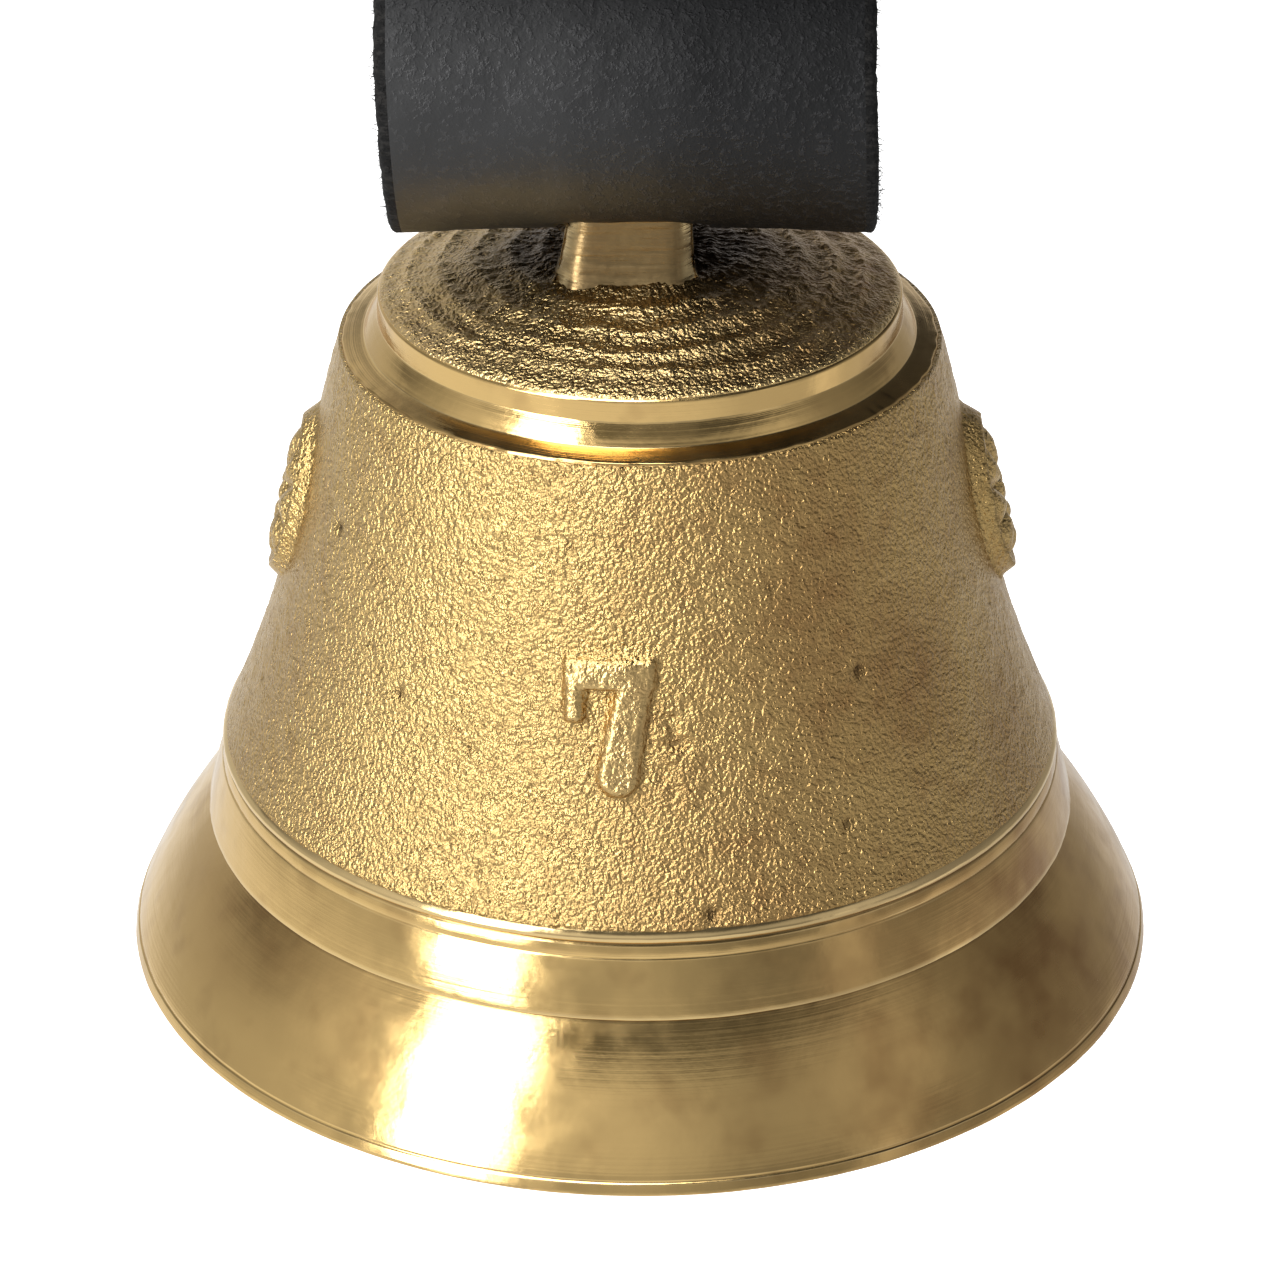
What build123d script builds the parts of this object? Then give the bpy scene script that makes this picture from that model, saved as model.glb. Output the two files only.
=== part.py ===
from build123d import *
import math
import os

# A cast brass bell with an inside clapper, hung by its crown loop from a cross pin that lies in
# the bend of a leather strap.  The strap is riveted together above the bend, and a roller buckle
# closes its hanging loop.  Millimetres, +Z up, the origin at the centre of the mouth plane.
# The strap's broad face looks along -Y, and every pivot of the strap lies along X.

# Bell casting: radii and heights of the turned and cast outside
MOUTH_R = 40.0
LIP_H = 1.07
LIP_TAPER = 0.3
FLARE_R = 33.8
FLARE_H = 11.45
FLARE_BULGE = 0.35
BAND_FOOT_R = 34.2
BAND_TOP_R = 32.45
BAND_TOP_Z = 16.8
RIB_R = 32.75
RIB_H = 1.0
SKIRT_FOOT_R = 32.1
SKIRT_TOP_R = 22.2
SKIRT_TOP_Z = 50.3
SKIRT_SAG = 1.15
BEAD_TOP_R = 20.4
BEAD_H = 1.75
COLLAR_R = 19.55
COLLAR_FOOT_Z = 52.35
COLLAR_TOP_Z = 54.2
CROWN_Z = 58.0
CROWN_BULGE = 0.5

# Bell casting: walls
LIP_WALL = 3.6
FLARE_WALL = 3.9
SKIRT_WALL = 3.7
CROWN_WALL = 4.6
CEILING_R = 4.0

# Crown loop, an upside-down U in the YZ plane
LOOP_FOOT_W = 10.1
LOOP_TOP_W = 9.0
LOOP_FOOT_Y = 7.4
LOOP_WALL = 3.35
LOOP_NECK_H = 3.5
LOOP_ROOT = 2.0

# Raised marks on the skirt
NUMERAL_X = -2.15
NUMERAL_Z = 32.05
NUMERAL_W = 6.6
NUMERAL_H = 9.9
NUMERAL_BAR = 2.2
NUMERAL_SERIF_W = 1.6
NUMERAL_SERIF_H = 4.8
NUMERAL_STEM = 2.7
NUMERAL_FOOT_W = 2.9
NUMERAL_FOOT_IN = 1.1
NUMERAL_CURVE = 0.45
NUMERAL_RAISE = 0.8
ROSETTE_Z = 36.3
ROSETTE_W = 9.0
ROSETTE_H = 14.3
ROSETTE_RAISE = 1.5
ROSETTE_PETALS = 8
PETAL_R = 1.0
PETAL_RING = 0.32

# Clapper
STAPLE_WIRE = 3.0
STAPLE_W = 10.0
STAPLE_BAR_Z = 46.0
STAPLE_CORNER = 2.6
STAPLE_ROOT = 2.4
LINK_WIRE = 2.4
LINK_W = 7.2
LINK_L = 11.5
EYE_WIRE = 2.8
EYE_R = 3.6
ROD_R = 1.9
BALL_R = 8.5
BALL_Z = 12.5
PEEN_H = 1.3
PEEN_R = 3.0
LINK_GAP = 0.25

# Strap
STRAP_W = 35.0
STRAP_T = 3.0
LAYER_GAP = 0.15
BEND_R = 12.5
BEND_Z = 72.5
PINCH_R = 12.0
WAIST_L = 10.0
HANG_HALF = 17.0
HANG_TURN_R = 10.0
FRONT_L = 46.0
HEEL_TURN_R = 8.0
TAB_L = 20.4
STEP_R = 12.0
STEP_Z = 2.0
TAIL_L = 46.0
TAIL_POINT = 9.0
SLOT_SIDE_GAP = 0.55
SLOT_END_Y = 7.6
HOLE_W = 5.0
HOLE_L = 12.0
HOLE_LEAD = 2.53
HOLE_PITCH = 16.0
HOLES_BELOW = 2

# Cross pin and its split pins
PIN_R = 3.0
PIN_L = 31.0
PIN_FIT = 0.05
SPLIT_WIRE = 1.5
SPLIT_X = 6.6
SPLIT_REACH = 5.5
SPLIT_EYE_R = 0.85
SPLIT_SPREAD = 25.0

# Buckle
BAR_R = 2.0
BAR_FIT = 0.1
FRAME_L = 18.0
FRAME_SIDE_GAP = 0.7
FRAME_CORNER = 2.6
ROLLER_WALL = 0.82
ROLLER_FIT = 0.08
ROLLER_L = 31.0
ROLLER_GAP = 0.3
TONGUE_W = 3.8
TONGUE_T = 2.2
TONGUE_L = 24.5
TONGUE_FIT = 0.06
TONGUE_REST = 0.1
TONGUE_SLOT_GAP = 1.0

# Keepers
KEEPER_T = 1.6
KEEPER_W = 7.0
KEEPER_SIDE_GAP = 0.4
KEEPER_FACE_GAP = 0.2
FIXED_KEEPER_BELOW = 15.5
SLIDING_KEEPER_BELOW = 38.5
STAPLE_PIN_R = 0.4
STAPLE_PIN_W = 8.0

# Rivets
RIVET_R = 1.6
RIVET_X = 10.0
HEAD_R = 4.0
HEAD_H = 1.2
FLUSH_HEAD_R = 3.4
FLUSH_HEAD_H = 0.9
BURR_R = 3.3
BURR_T = 0.9
RIVET_PEEN_R = 2.3
RIVET_PEEN_H = 0.6
FOLD_RIVET_BELOW = 25.0

# Places that follow from the sizes
HALF_T = STRAP_T / 2
BEND_MID = BEND_R - HALF_T
WAIST_Y = HALF_T + LAYER_GAP
PINCH_ANGLE = math.degrees(math.acos((PINCH_R + WAIST_Y) / (PINCH_R + BEND_MID)))
WAIST_Z = BEND_Z + (PINCH_R + BEND_MID) * math.sin(math.radians(PINCH_ANGLE))
HANG_ANGLE = math.degrees(math.acos(1 - (HANG_HALF - WAIST_Y) / (2 * HANG_TURN_R)))
HANG_Z = WAIST_Z + WAIST_L + 2 * HANG_TURN_R * math.sin(math.radians(HANG_ANGLE))
HEEL_Z = HANG_Z + FRONT_L
HEEL_Y = -(HANG_HALF - HALF_T - BAR_FIT - BAR_R)
FOLD_MID = BAR_R + BAR_FIT + HALF_T
TAB_Y = -(HANG_HALF - STRAP_T - LAYER_GAP)
TAB_SHIFT = HEEL_Y + FOLD_MID - TAB_Y
TAB_ANGLE = math.degrees(math.acos(1 - TAB_SHIFT / (2 * HEEL_TURN_R)))
TAIL_Y = -(HANG_HALF + STRAP_T + LAYER_GAP)
STEP_ANGLE = math.degrees(math.acos(1 + (TAIL_Y + HANG_HALF) / (2 * STEP_R)))
STEP_TOP_Z = HEEL_Z + STEP_Z + 2 * STEP_R * math.sin(math.radians(STEP_ANGLE))
ROLLER_R = BAR_R + ROLLER_FIT + ROLLER_WALL
ROLLER_Y = -(HANG_HALF + HALF_T + ROLLER_GAP + ROLLER_R)
ROLLER_Z = HEEL_Z + FRAME_L
TOP_Z = ROLLER_Z + BAR_R
FRAME_X = STRAP_W / 2 + FRAME_SIDE_GAP + BAR_R
PIN_Z = BEND_Z - (BEND_R - STRAP_T) + PIN_R + PIN_FIT
LOOP_IN = PIN_R + PIN_FIT
LOOP_OUT = LOOP_IN + LOOP_WALL
RIB_TOP_Z = BAND_TOP_Z + RIB_H
LINK_TOP_Z = STAPLE_BAR_Z + (STAPLE_WIRE + LINK_WIRE) / 2 + LINK_GAP
LINK_LOW_Z = LINK_TOP_Z - LINK_L
EYE_Z = LINK_LOW_Z + (LINK_WIRE + EYE_WIRE) / 2 + LINK_GAP - EYE_R


def mid_arc(a, b, bulge):
    """Arc from a to b in the XZ plane, its middle pushed out by bulge to the right of a to b."""
    ax, az = a
    bx, bz = b
    size = math.hypot(bx - ax, bz - az)
    middle = ((ax + bx) / 2 + bulge * (bz - az) / size, (az + bz) / 2 - bulge * (bx - ax) / size)
    return ThreePointArc(a, middle, b)


def turned(lines):
    """Solid of revolution about Z from a closed outline of (radius, height) lines."""
    return revolve(Plane.XZ * make_face(lines), Axis.Z, 360)


def outside(grow=0.0):
    """The casting's outside without loop or marks, with the skirt stood out by grow."""
    lip_top = (MOUTH_R - LIP_TAPER, LIP_H)
    flare_top = (FLARE_R, FLARE_H)
    band_foot = (BAND_FOOT_R, FLARE_H)
    band_top = (BAND_TOP_R, BAND_TOP_Z)
    skirt_foot = (SKIRT_FOOT_R + grow, RIB_TOP_Z)
    skirt_top = (SKIRT_TOP_R + grow, SKIRT_TOP_Z)
    bead_top = (BEAD_TOP_R, SKIRT_TOP_Z + BEAD_H)
    collar_foot = (COLLAR_R, COLLAR_FOOT_Z)
    collar_top = (COLLAR_R, COLLAR_TOP_Z)
    return turned([
        Line((0, 0), (MOUTH_R, 0)),
        Line((MOUTH_R, 0), lip_top),
        mid_arc(lip_top, flare_top, FLARE_BULGE),
        Line(flare_top, band_foot),
        Line(band_foot, band_top),
        ThreePointArc(band_top, (RIB_R, BAND_TOP_Z + RIB_H / 2), (SKIRT_FOOT_R, RIB_TOP_Z)),
        *([Line((SKIRT_FOOT_R, RIB_TOP_Z), skirt_foot)] if grow else []),
        mid_arc(skirt_foot, skirt_top, -SKIRT_SAG),
        *([Line(skirt_top, (SKIRT_TOP_R, SKIRT_TOP_Z))] if grow else []),
        mid_arc((SKIRT_TOP_R, SKIRT_TOP_Z), bead_top, BEAD_H / 3),
        Line(bead_top, collar_foot),
        Line(collar_foot, collar_top),
        mid_arc(collar_top, (0, CROWN_Z), CROWN_BULGE),
        Line((0, CROWN_Z), (0, 0)),
    ])


def inside():
    """The bell's hollow, a wall's thickness inside each stretch of the outside."""
    ceiling_z = CROWN_Z - CROWN_WALL
    top_r = SKIRT_TOP_R - SKIRT_WALL
    top_z = ceiling_z - CEILING_R
    mouth = (MOUTH_R - LIP_WALL, 0)
    flare_top = (FLARE_R - FLARE_WALL, FLARE_H)
    skirt_foot = (SKIRT_FOOT_R - SKIRT_WALL, RIB_TOP_Z)
    corner = CEILING_R * (1 - math.sqrt(0.5))
    return turned([
        Line((0, 0), mouth),
        mid_arc(mouth, flare_top, FLARE_BULGE),
        Line(flare_top, skirt_foot),
        mid_arc(skirt_foot, (top_r, top_z), -SKIRT_SAG),
        ThreePointArc((top_r, top_z), (top_r - corner, ceiling_z - corner), (top_r - CEILING_R, ceiling_z)),
        Line((top_r - CEILING_R, ceiling_z), (0, ceiling_z)),
        Line((0, ceiling_z), (0, 0)),
    ])


def crown_loop():
    """Upside-down U that spreads at its feet, with a round eye for the cross pin."""
    neck_z = CROWN_Z - CROWN_BULGE + LOOP_NECK_H
    root_z = CROWN_Z - LOOP_ROOT
    side = make_face([
        Line((LOOP_OUT, PIN_Z), (LOOP_OUT, neck_z)),
        Line((LOOP_OUT, neck_z), (LOOP_FOOT_Y, root_z)),
        Line((LOOP_FOOT_Y, root_z), (LOOP_IN, root_z)),
        Line((LOOP_IN, root_z), (LOOP_IN, PIN_Z)),
        ThreePointArc((LOOP_IN, PIN_Z), (0, PIN_Z + LOOP_IN), (-LOOP_IN, PIN_Z)),
        Line((-LOOP_IN, PIN_Z), (-LOOP_IN, root_z)),
        Line((-LOOP_IN, root_z), (-LOOP_FOOT_Y, root_z)),
        Line((-LOOP_FOOT_Y, root_z), (-LOOP_OUT, neck_z)),
        Line((-LOOP_OUT, neck_z), (-LOOP_OUT, PIN_Z)),
        ThreePointArc((-LOOP_OUT, PIN_Z), (0, PIN_Z + LOOP_OUT), (LOOP_OUT, PIN_Z)),
    ])
    top_z = PIN_Z + LOOP_OUT + 1
    front = Polyline(
        (-LOOP_FOOT_W / 2, root_z), (-LOOP_TOP_W / 2, neck_z), (-LOOP_TOP_W / 2, top_z),
        (LOOP_TOP_W / 2, top_z), (LOOP_TOP_W / 2, neck_z), (LOOP_FOOT_W / 2, root_z), close=True)
    legs = extrude(Plane.YZ * side, amount=LOOP_FOOT_W, both=True)
    return legs & extrude(Plane.XZ * make_face(front), amount=2 * LOOP_FOOT_Y, both=True)


def marks():
    """Size numeral on the front and an oval rosette on each side, as blocks that reach the skirt."""
    left = NUMERAL_X - NUMERAL_W / 2
    right = NUMERAL_X + NUMERAL_W / 2
    top = NUMERAL_Z + NUMERAL_H / 2
    low = NUMERAL_Z - NUMERAL_H / 2
    under = top - NUMERAL_BAR
    serif_low = top - NUMERAL_SERIF_H
    foot = right - NUMERAL_FOOT_IN
    seven = make_face([
        Line((left, top), (right, top)),
        Line((right, top), (right, under)),
        mid_arc((right, under), (foot, low), NUMERAL_CURVE),
        Line((foot, low), (foot - NUMERAL_FOOT_W, low)),
        mid_arc((foot - NUMERAL_FOOT_W, low), (right - NUMERAL_STEM, under), -NUMERAL_CURVE),
        Line((right - NUMERAL_STEM, under), (left + NUMERAL_SERIF_W, under)),
        Line((left + NUMERAL_SERIF_W, under), (left + NUMERAL_SERIF_W, serif_low)),
        Line((left + NUMERAL_SERIF_W, serif_low), (left, serif_low)),
        Line((left, serif_low), (left, top)),
    ])
    numeral = extrude(Plane.XZ * seven, amount=MOUTH_R) & outside(NUMERAL_RAISE)
    middle = Plane.YZ * Pos(0, ROSETTE_Z)
    plate = extrude(middle * Ellipse(ROSETTE_W / 2, ROSETTE_H / 2), amount=MOUTH_R, both=True)
    boss = extrude(middle * Ellipse(ROSETTE_W / 6, ROSETTE_H / 6), amount=MOUTH_R, both=True)
    for i in range(ROSETTE_PETALS):
        turn = 2 * math.pi * (i + 0.5) / ROSETTE_PETALS
        place = Pos(PETAL_RING * ROSETTE_W * math.cos(turn), PETAL_RING * ROSETTE_H * math.sin(turn))
        boss += extrude(middle * place * Circle(PETAL_R), amount=MOUTH_R, both=True)
    return numeral + (plate & outside(ROSETTE_RAISE / 2)) + (boss & outside(ROSETTE_RAISE))


def staple():
    """Square-cornered U of wire, its legs cast into the crown."""
    root_z = CROWN_Z - CROWN_WALL + STAPLE_ROOT
    half = STAPLE_W / 2
    path = Plane.XZ * FilletPolyline(
        (-half, root_z), (-half, STAPLE_BAR_Z), (half, STAPLE_BAR_Z), (half, root_z), radius=STAPLE_CORNER)
    return sweep(Plane((-half, 0, root_z), z_dir=(0, 0, -1)) * Circle(STAPLE_WIRE / 2), path)


def link():
    """Long oval ring of wire in the YZ plane, hung on the staple's bar."""
    half = LINK_W / 2
    low = LINK_LOW_Z + half
    top = LINK_TOP_Z - half
    path = Plane.YZ * Wire([
        Line((half, low), (half, top)).edge(),
        ThreePointArc((half, top), (0, LINK_TOP_Z), (-half, top)).edge(),
        Line((-half, top), (-half, low)).edge(),
        ThreePointArc((-half, low), (0, LINK_LOW_Z), (half, low)).edge(),
    ])
    return sweep(Plane((0, half, low), z_dir=(0, 0, 1)) * Circle(LINK_WIRE / 2), path)


def dome(radius, height):
    """Shallow domed disc, flat side down at Z = 0."""
    rim_h = height / 3
    ball_r = (radius ** 2 + (height - rim_h) ** 2) / (2 * (height - rim_h))
    return Pos(0, 0, height / 2) * Cylinder(radius, height) & Pos(0, 0, height - ball_r) * Sphere(ball_r)


def clapper_rod():
    """Rod with a ring eye in the XZ plane on top, through the ball and peened under it."""
    eye = Pos(0, 0, EYE_Z) * Rot(90, 0, 0) * Torus(EYE_R, EYE_WIRE / 2)
    low = BALL_Z - BALL_R
    high = EYE_Z - EYE_R
    shank = Pos(0, 0, (low + high) / 2) * Cylinder(ROD_R, high - low)
    return eye + shank + Pos(0, 0, low) * Rot(180, 0, 0) * dome(PEEN_R, PEEN_H)


def clapper_ball():
    """Ball with a flat under it for the peened end and a bore for the rod."""
    flat = BALL_Z - BALL_R + LINK_GAP
    middle = Pos(0, 0, BALL_Z)
    ball = middle * Sphere(BALL_R) & middle * Cylinder(BALL_R, 2 * (BALL_Z - flat))
    return ball - middle * Cylinder(ROD_R, 3 * BALL_R)


def strip(start, heading, moves, thickness, width):
    """A strip bent along runs and turns in the YZ plane, as one solid centred on X = 0.

    A move is a run's length, or a pair of a turn's middle radius and its angle, positive to the left.
    """
    y, z = start
    turn = math.radians(heading)
    sides = {1: [], -1: []}
    half = thickness / 2

    def rim(at, facing, side, reach=half):
        return (-width / 2, at[0] - side * reach * math.sin(facing), at[1] + side * reach * math.cos(facing))

    for move in moves:
        if isinstance(move, tuple):
            radius, angle = move
            hand = 1 if angle > 0 else -1
            centre = (y - hand * radius * math.sin(turn), z + hand * radius * math.cos(turn))
            steps = [turn + math.radians(angle) * share for share in (0, 0.5, 1)]
            for side in sides:
                points = [rim(centre, facing, -hand, radius - side * hand * half) for facing in steps]
                sides[side].append(Edge.make_three_point_arc(*points))
            turn = steps[-1]
            y = centre[0] + hand * radius * math.sin(turn)
            z = centre[1] - hand * radius * math.cos(turn)
        else:
            ahead = (y + move * math.cos(turn), z + move * math.sin(turn))
            for side in sides:
                sides[side].append(Edge.make_line(rim((y, z), turn, side), rim(ahead, turn, side)))
            y, z = ahead
    caps = [
        Edge.make_line(sides[1][0].position_at(0), sides[-1][0].position_at(0)),
        Edge.make_line(sides[1][-1].position_at(1), sides[-1][-1].position_at(1)),
    ]
    outline = Wire.combine(sides[1] + sides[-1] + caps)[0]
    return extrude(Face(outline), amount=width, dir=(1, 0, 0))


def block(x, y, z):
    """A box from its three (low, high) pairs."""
    size = [high - low for low, high in (x, y, z)]
    middle = [(low + high) / 2 for low, high in (x, y, z)]
    return Pos(*middle) * Box(*size)


def across(radius, low_y, high_y, x, z):
    """A cylinder along Y."""
    return Pos(x, (low_y + high_y) / 2, z) * Rot(90, 0, 0) * Cylinder(radius, high_y - low_y)


def along(radius, length, y, z):
    """A cylinder along X, centred on X = 0."""
    return Pos(0, y, z) * Rot(0, 90, 0) * Cylinder(radius, length)


def strap():
    """The whole leather strip, from its fold round the buckle's heel bar to its pointed tail."""
    tab_end_z = HEEL_Z - 2 * HEEL_TURN_R * math.sin(math.radians(TAB_ANGLE)) - TAB_L
    body = strip((TAB_Y, tab_end_z), 90, [
        TAB_L,
        (HEEL_TURN_R, -TAB_ANGLE),
        (HEEL_TURN_R, TAB_ANGLE),
        (FOLD_MID, 180),
        FRONT_L,
        (HANG_TURN_R, HANG_ANGLE),
        (HANG_TURN_R, -HANG_ANGLE),
        WAIST_L,
        (PINCH_R, -PINCH_ANGLE),
        (BEND_MID, 180 + 2 * PINCH_ANGLE),
        (PINCH_R, -PINCH_ANGLE),
        WAIST_L,
        (HANG_TURN_R, -HANG_ANGLE),
        (HANG_TURN_R, HANG_ANGLE),
        TOP_Z - HANG_Z,
        (HANG_HALF, 180),
        TOP_Z - STEP_TOP_Z,
        (STEP_R, -STEP_ANGLE),
        (STEP_R, STEP_ANGLE),
        TAIL_L,
    ], STRAP_T, STRAP_W)
    slot_x = LOOP_FOOT_W / 2 + SLOT_SIDE_GAP
    body -= block((-slot_x, slot_x), (-SLOT_END_Y, SLOT_END_Y), (BEND_Z - BEND_R - 1, PIN_Z + PIN_R))
    fold_x = TONGUE_W / 2 + TONGUE_SLOT_GAP
    tail_back = TAIL_Y + HALF_T
    heel_reach = BAR_R + BAR_FIT + STRAP_T + 1
    heel_slot_z = (HEEL_Z - heel_reach, HEEL_Z + heel_reach)
    body -= block((-fold_x, fold_x), (tail_back + LAYER_GAP / 2, 0), heel_slot_z)
    for i in range(-1, HOLES_BELOW + 1):
        hole = extrude(SlotOverall(HOLE_L, HOLE_W, rotation=90), amount=2 * STRAP_T)
        front = tail_back + LAYER_GAP / 2 if i else tail_back + STRAP_T
        middle = (0, front, hole_z() - HOLE_LEAD - i * HOLE_PITCH)
        body -= Plane(middle, x_dir=(1, 0, 0), z_dir=(0, -1, 0)) * hole
    tip_z = HEEL_Z + STEP_Z - TAIL_L
    for side in (1, -1):
        corner = Plane.XZ * make_face(Polyline(
            (side * STRAP_W / 2, tip_z + TAIL_POINT), (side * STRAP_W / 4, tip_z + TAIL_POINT / 4),
            (0, tip_z), (0, tip_z - 1), (side * (STRAP_W / 2 + 1), tip_z - 1),
            (side * (STRAP_W / 2 + 1), tip_z + TAIL_POINT), close=True))
        body -= Pos(0, tail_back + LAYER_GAP / 2, 0) * extrude(corner, amount=2 * STRAP_T)
    for x in (-RIVET_X, RIVET_X):
        body -= across(RIVET_R, -2 * STRAP_T, 2 * STRAP_T, x, WAIST_Z + WAIST_L / 2)
        fold_z = HEEL_Z - FOLD_RIVET_BELOW
        front_y = -HANG_HALF - HALF_T
        body -= across(RIVET_R, front_y, TAB_Y + HALF_T + 1, x, fold_z)
        body -= across(FLUSH_HEAD_R, front_y, front_y + FLUSH_HEAD_H, x, fold_z)
    return body


def tongue_angle():
    """Lean of the tongue's shank from the vertical, at rest on the roller."""
    reach_y = HEEL_Y - ROLLER_Y
    span = math.hypot(reach_y, FRAME_L)
    offset = (ROLLER_R + TONGUE_REST + TONGUE_T / 2) - shank_offset()
    return math.degrees(math.atan2(reach_y, FRAME_L) + math.asin(offset / span))


def shank_offset():
    """Distance from the heel bar's axis to the middle of the tongue's shank."""
    return BAR_R + TONGUE_FIT + TONGUE_T / 2


def hole_z():
    """Height at which the tongue's shank passes through the middle of the tail."""
    lean = math.radians(tongue_angle())
    reach = (HEEL_Y - shank_offset() * math.cos(lean) - TAIL_Y) / math.sin(lean)
    return HEEL_Z - shank_offset() * math.sin(lean) + reach * math.cos(lean)


def cross_pin():
    """Straight pin through the crown loop's eye, drilled across for the split pins."""
    pin = along(PIN_R, PIN_L, 0, PIN_Z)
    for x in (-SPLIT_X, SPLIT_X):
        pin -= across(SPLIT_WIRE / 2 + PIN_FIT, -2 * PIN_R, 2 * PIN_R, x, PIN_Z)
    return pin


def split_pin(x):
    """Split pin along Y with a small ring head and two spread ends."""
    head_y = -SPLIT_REACH + SPLIT_EYE_R + SPLIT_WIRE / 4
    wire = across(SPLIT_WIRE / 2, head_y + SPLIT_EYE_R, PIN_R + SPLIT_WIRE / 4, x, PIN_Z)
    ring = Pos(x, head_y, PIN_Z) * Torus(SPLIT_EYE_R, SPLIT_WIRE / 4)
    ends = Part()
    for side in (1, -1):
        length = SPLIT_REACH - PIN_R - SPLIT_WIRE / 4
        end = Pos(0, length / 2, 0) * Rot(90, 0, 0) * Cylinder(SPLIT_WIRE / 4, length)
        place = Pos(x + side * SPLIT_WIRE / 4, PIN_R, PIN_Z) * Rot(0, 0, -side * SPLIT_SPREAD)
        ends += place * end
    return wire + ring + ends


def buckle_frame():
    """Closed rectangle of round bar, leaning out from its heel bar to its roller bar."""
    lean = math.atan2(HEEL_Y - ROLLER_Y, FRAME_L)
    length = math.hypot(HEEL_Y - ROLLER_Y, FRAME_L)
    plane = Plane((0, HEEL_Y, HEEL_Z), x_dir=(1, 0, 0), z_dir=(0, -math.cos(lean), -math.sin(lean)))
    outline = plane * RectangleRounded(2 * FRAME_X, length, FRAME_CORNER, align=(Align.CENTER, Align.MIN))
    path = outline.face().outer_wire()
    start = path.position_at(0)
    return sweep(Plane(start, z_dir=path.tangent_at(0)) * Circle(BAR_R), path)


def roller():
    """Thin tube that turns on the frame's front bar."""
    tube = along(ROLLER_R, ROLLER_L, ROLLER_Y, ROLLER_Z)
    return tube - along(BAR_R + ROLLER_FIT, ROLLER_L + 2, ROLLER_Y, ROLLER_Z)


def tongue():
    """Flat tongue with an eye round the heel bar and a rounded tip past the roller."""
    eye_r = BAR_R + TONGUE_FIT
    lean = math.radians(tongue_angle())
    shank = block((-TONGUE_W / 2, TONGUE_W / 2), (-eye_r - TONGUE_T, -eye_r), (0, TONGUE_L))
    tip = [e for e in shank.edges().filter_by(Axis.X) if e.center().Z > TONGUE_L - 1]
    shank = fillet(tip, TONGUE_T * 0.42)
    solid = Rot(math.degrees(lean), 0, 0) * shank + along(eye_r + TONGUE_T, TONGUE_W, 0, 0)
    return Pos(0, HEEL_Y, HEEL_Z) * (solid - along(eye_r, TONGUE_W + 2, 0, 0))


def keeper(back_y, below):
    """Leather loop round the strap and its tail, from the face at back_y."""
    inner_x = STRAP_W / 2 + KEEPER_SIDE_GAP
    inner_y = (TAIL_Y - HALF_T - KEEPER_FACE_GAP, back_y + KEEPER_FACE_GAP)
    z = (HEEL_Z - below - KEEPER_W / 2, HEEL_Z - below + KEEPER_W / 2)
    outer_x = inner_x + KEEPER_T
    shell = block((-outer_x, outer_x), (inner_y[0] - KEEPER_T, inner_y[1] + KEEPER_T), z)
    shell = fillet(shell.edges().filter_by(Axis.Z), KEEPER_T)
    return shell - block((-inner_x, inner_x), inner_y, (z[0] - 1, z[1] + 1))


def keeper_staple(back_y, below):
    """Wire staple that closes a keeper's butted ends on its back."""
    back = back_y + KEEPER_FACE_GAP + KEEPER_T
    z = HEEL_Z - below
    half = STAPLE_PIN_W / 2
    bar = along(STAPLE_PIN_R, STAPLE_PIN_W + 2 * STAPLE_PIN_R, back + STAPLE_PIN_R, z)
    for x in (-half, half):
        bar += across(STAPLE_PIN_R, back - KEEPER_T, back + STAPLE_PIN_R, x, z)
    return bar


def rivet(x, z, front_y, back_y, flush):
    """Rivet along Y: a head in front, its shank, and the end peened over the burr behind."""
    shank = across(RIVET_R, front_y, back_y + BURR_T, x, z)
    end = Pos(x, back_y + BURR_T, z) * Rot(-90, 0, 0) * dome(RIVET_PEEN_R, RIVET_PEEN_H)
    if flush:
        return shank + end + across(FLUSH_HEAD_R, front_y, front_y + FLUSH_HEAD_H, x, z)
    return shank + end + Pos(x, front_y, z) * Rot(90, 0, 0) * dome(HEAD_R, HEAD_H)


def burr(x, z, back_y):
    """Washer under the peened end of a rivet."""
    washer = across(BURR_R, back_y, back_y + BURR_T, x, z)
    return washer - across(RIVET_R, back_y - 1, back_y + 2 * BURR_T, x, z)


def build():
    """Every node by name, as one solid or a list of separate solids."""
    clapper_staple = staple()
    waist_z = WAIST_Z + WAIST_L / 2
    waist_face = WAIST_Y + HALF_T
    fold_z = HEEL_Z - FOLD_RIVET_BELOW
    fold_front = -HANG_HALF - HALF_T
    fold_back = TAB_Y + HALF_T
    rivets_x = (-RIVET_X, RIVET_X)
    front_back = -HANG_HALF + HALF_T
    fixed_staple = keeper_staple(fold_back, FIXED_KEEPER_BELOW)
    sliding_staple = keeper_staple(front_back, SLIDING_KEEPER_BELOW)
    return {
        "bell_casting": outside() + crown_loop() + marks() - inside() - clapper_staple,
        "clapper_staple": clapper_staple,
        "clapper_link": link(),
        "clapper_rod": clapper_rod(),
        "clapper_ball": clapper_ball(),
        "cross_pin": cross_pin(),
        "split_pins": [split_pin(x) for x in (-SPLIT_X, SPLIT_X)],
        "strap": strap(),
        "waist_rivets": [rivet(x, waist_z, -waist_face, waist_face, False) for x in rivets_x],
        "waist_burrs": [burr(x, waist_z, waist_face) for x in rivets_x],
        "buckle_frame": buckle_frame(),
        "buckle_roller": roller(),
        "buckle_tongue": tongue(),
        "fold_rivets": [rivet(x, fold_z, fold_front, fold_back, True) for x in rivets_x],
        "fold_burrs": [burr(x, fold_z, fold_back) for x in rivets_x],
        "fixed_keeper": keeper(fold_back, FIXED_KEEPER_BELOW) - fixed_staple,
        "fixed_keeper_staple": fixed_staple,
        "sliding_keeper": keeper(front_back, SLIDING_KEEPER_BELOW) - sliding_staple,
        "sliding_keeper_staple": sliding_staple,
    }


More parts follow.
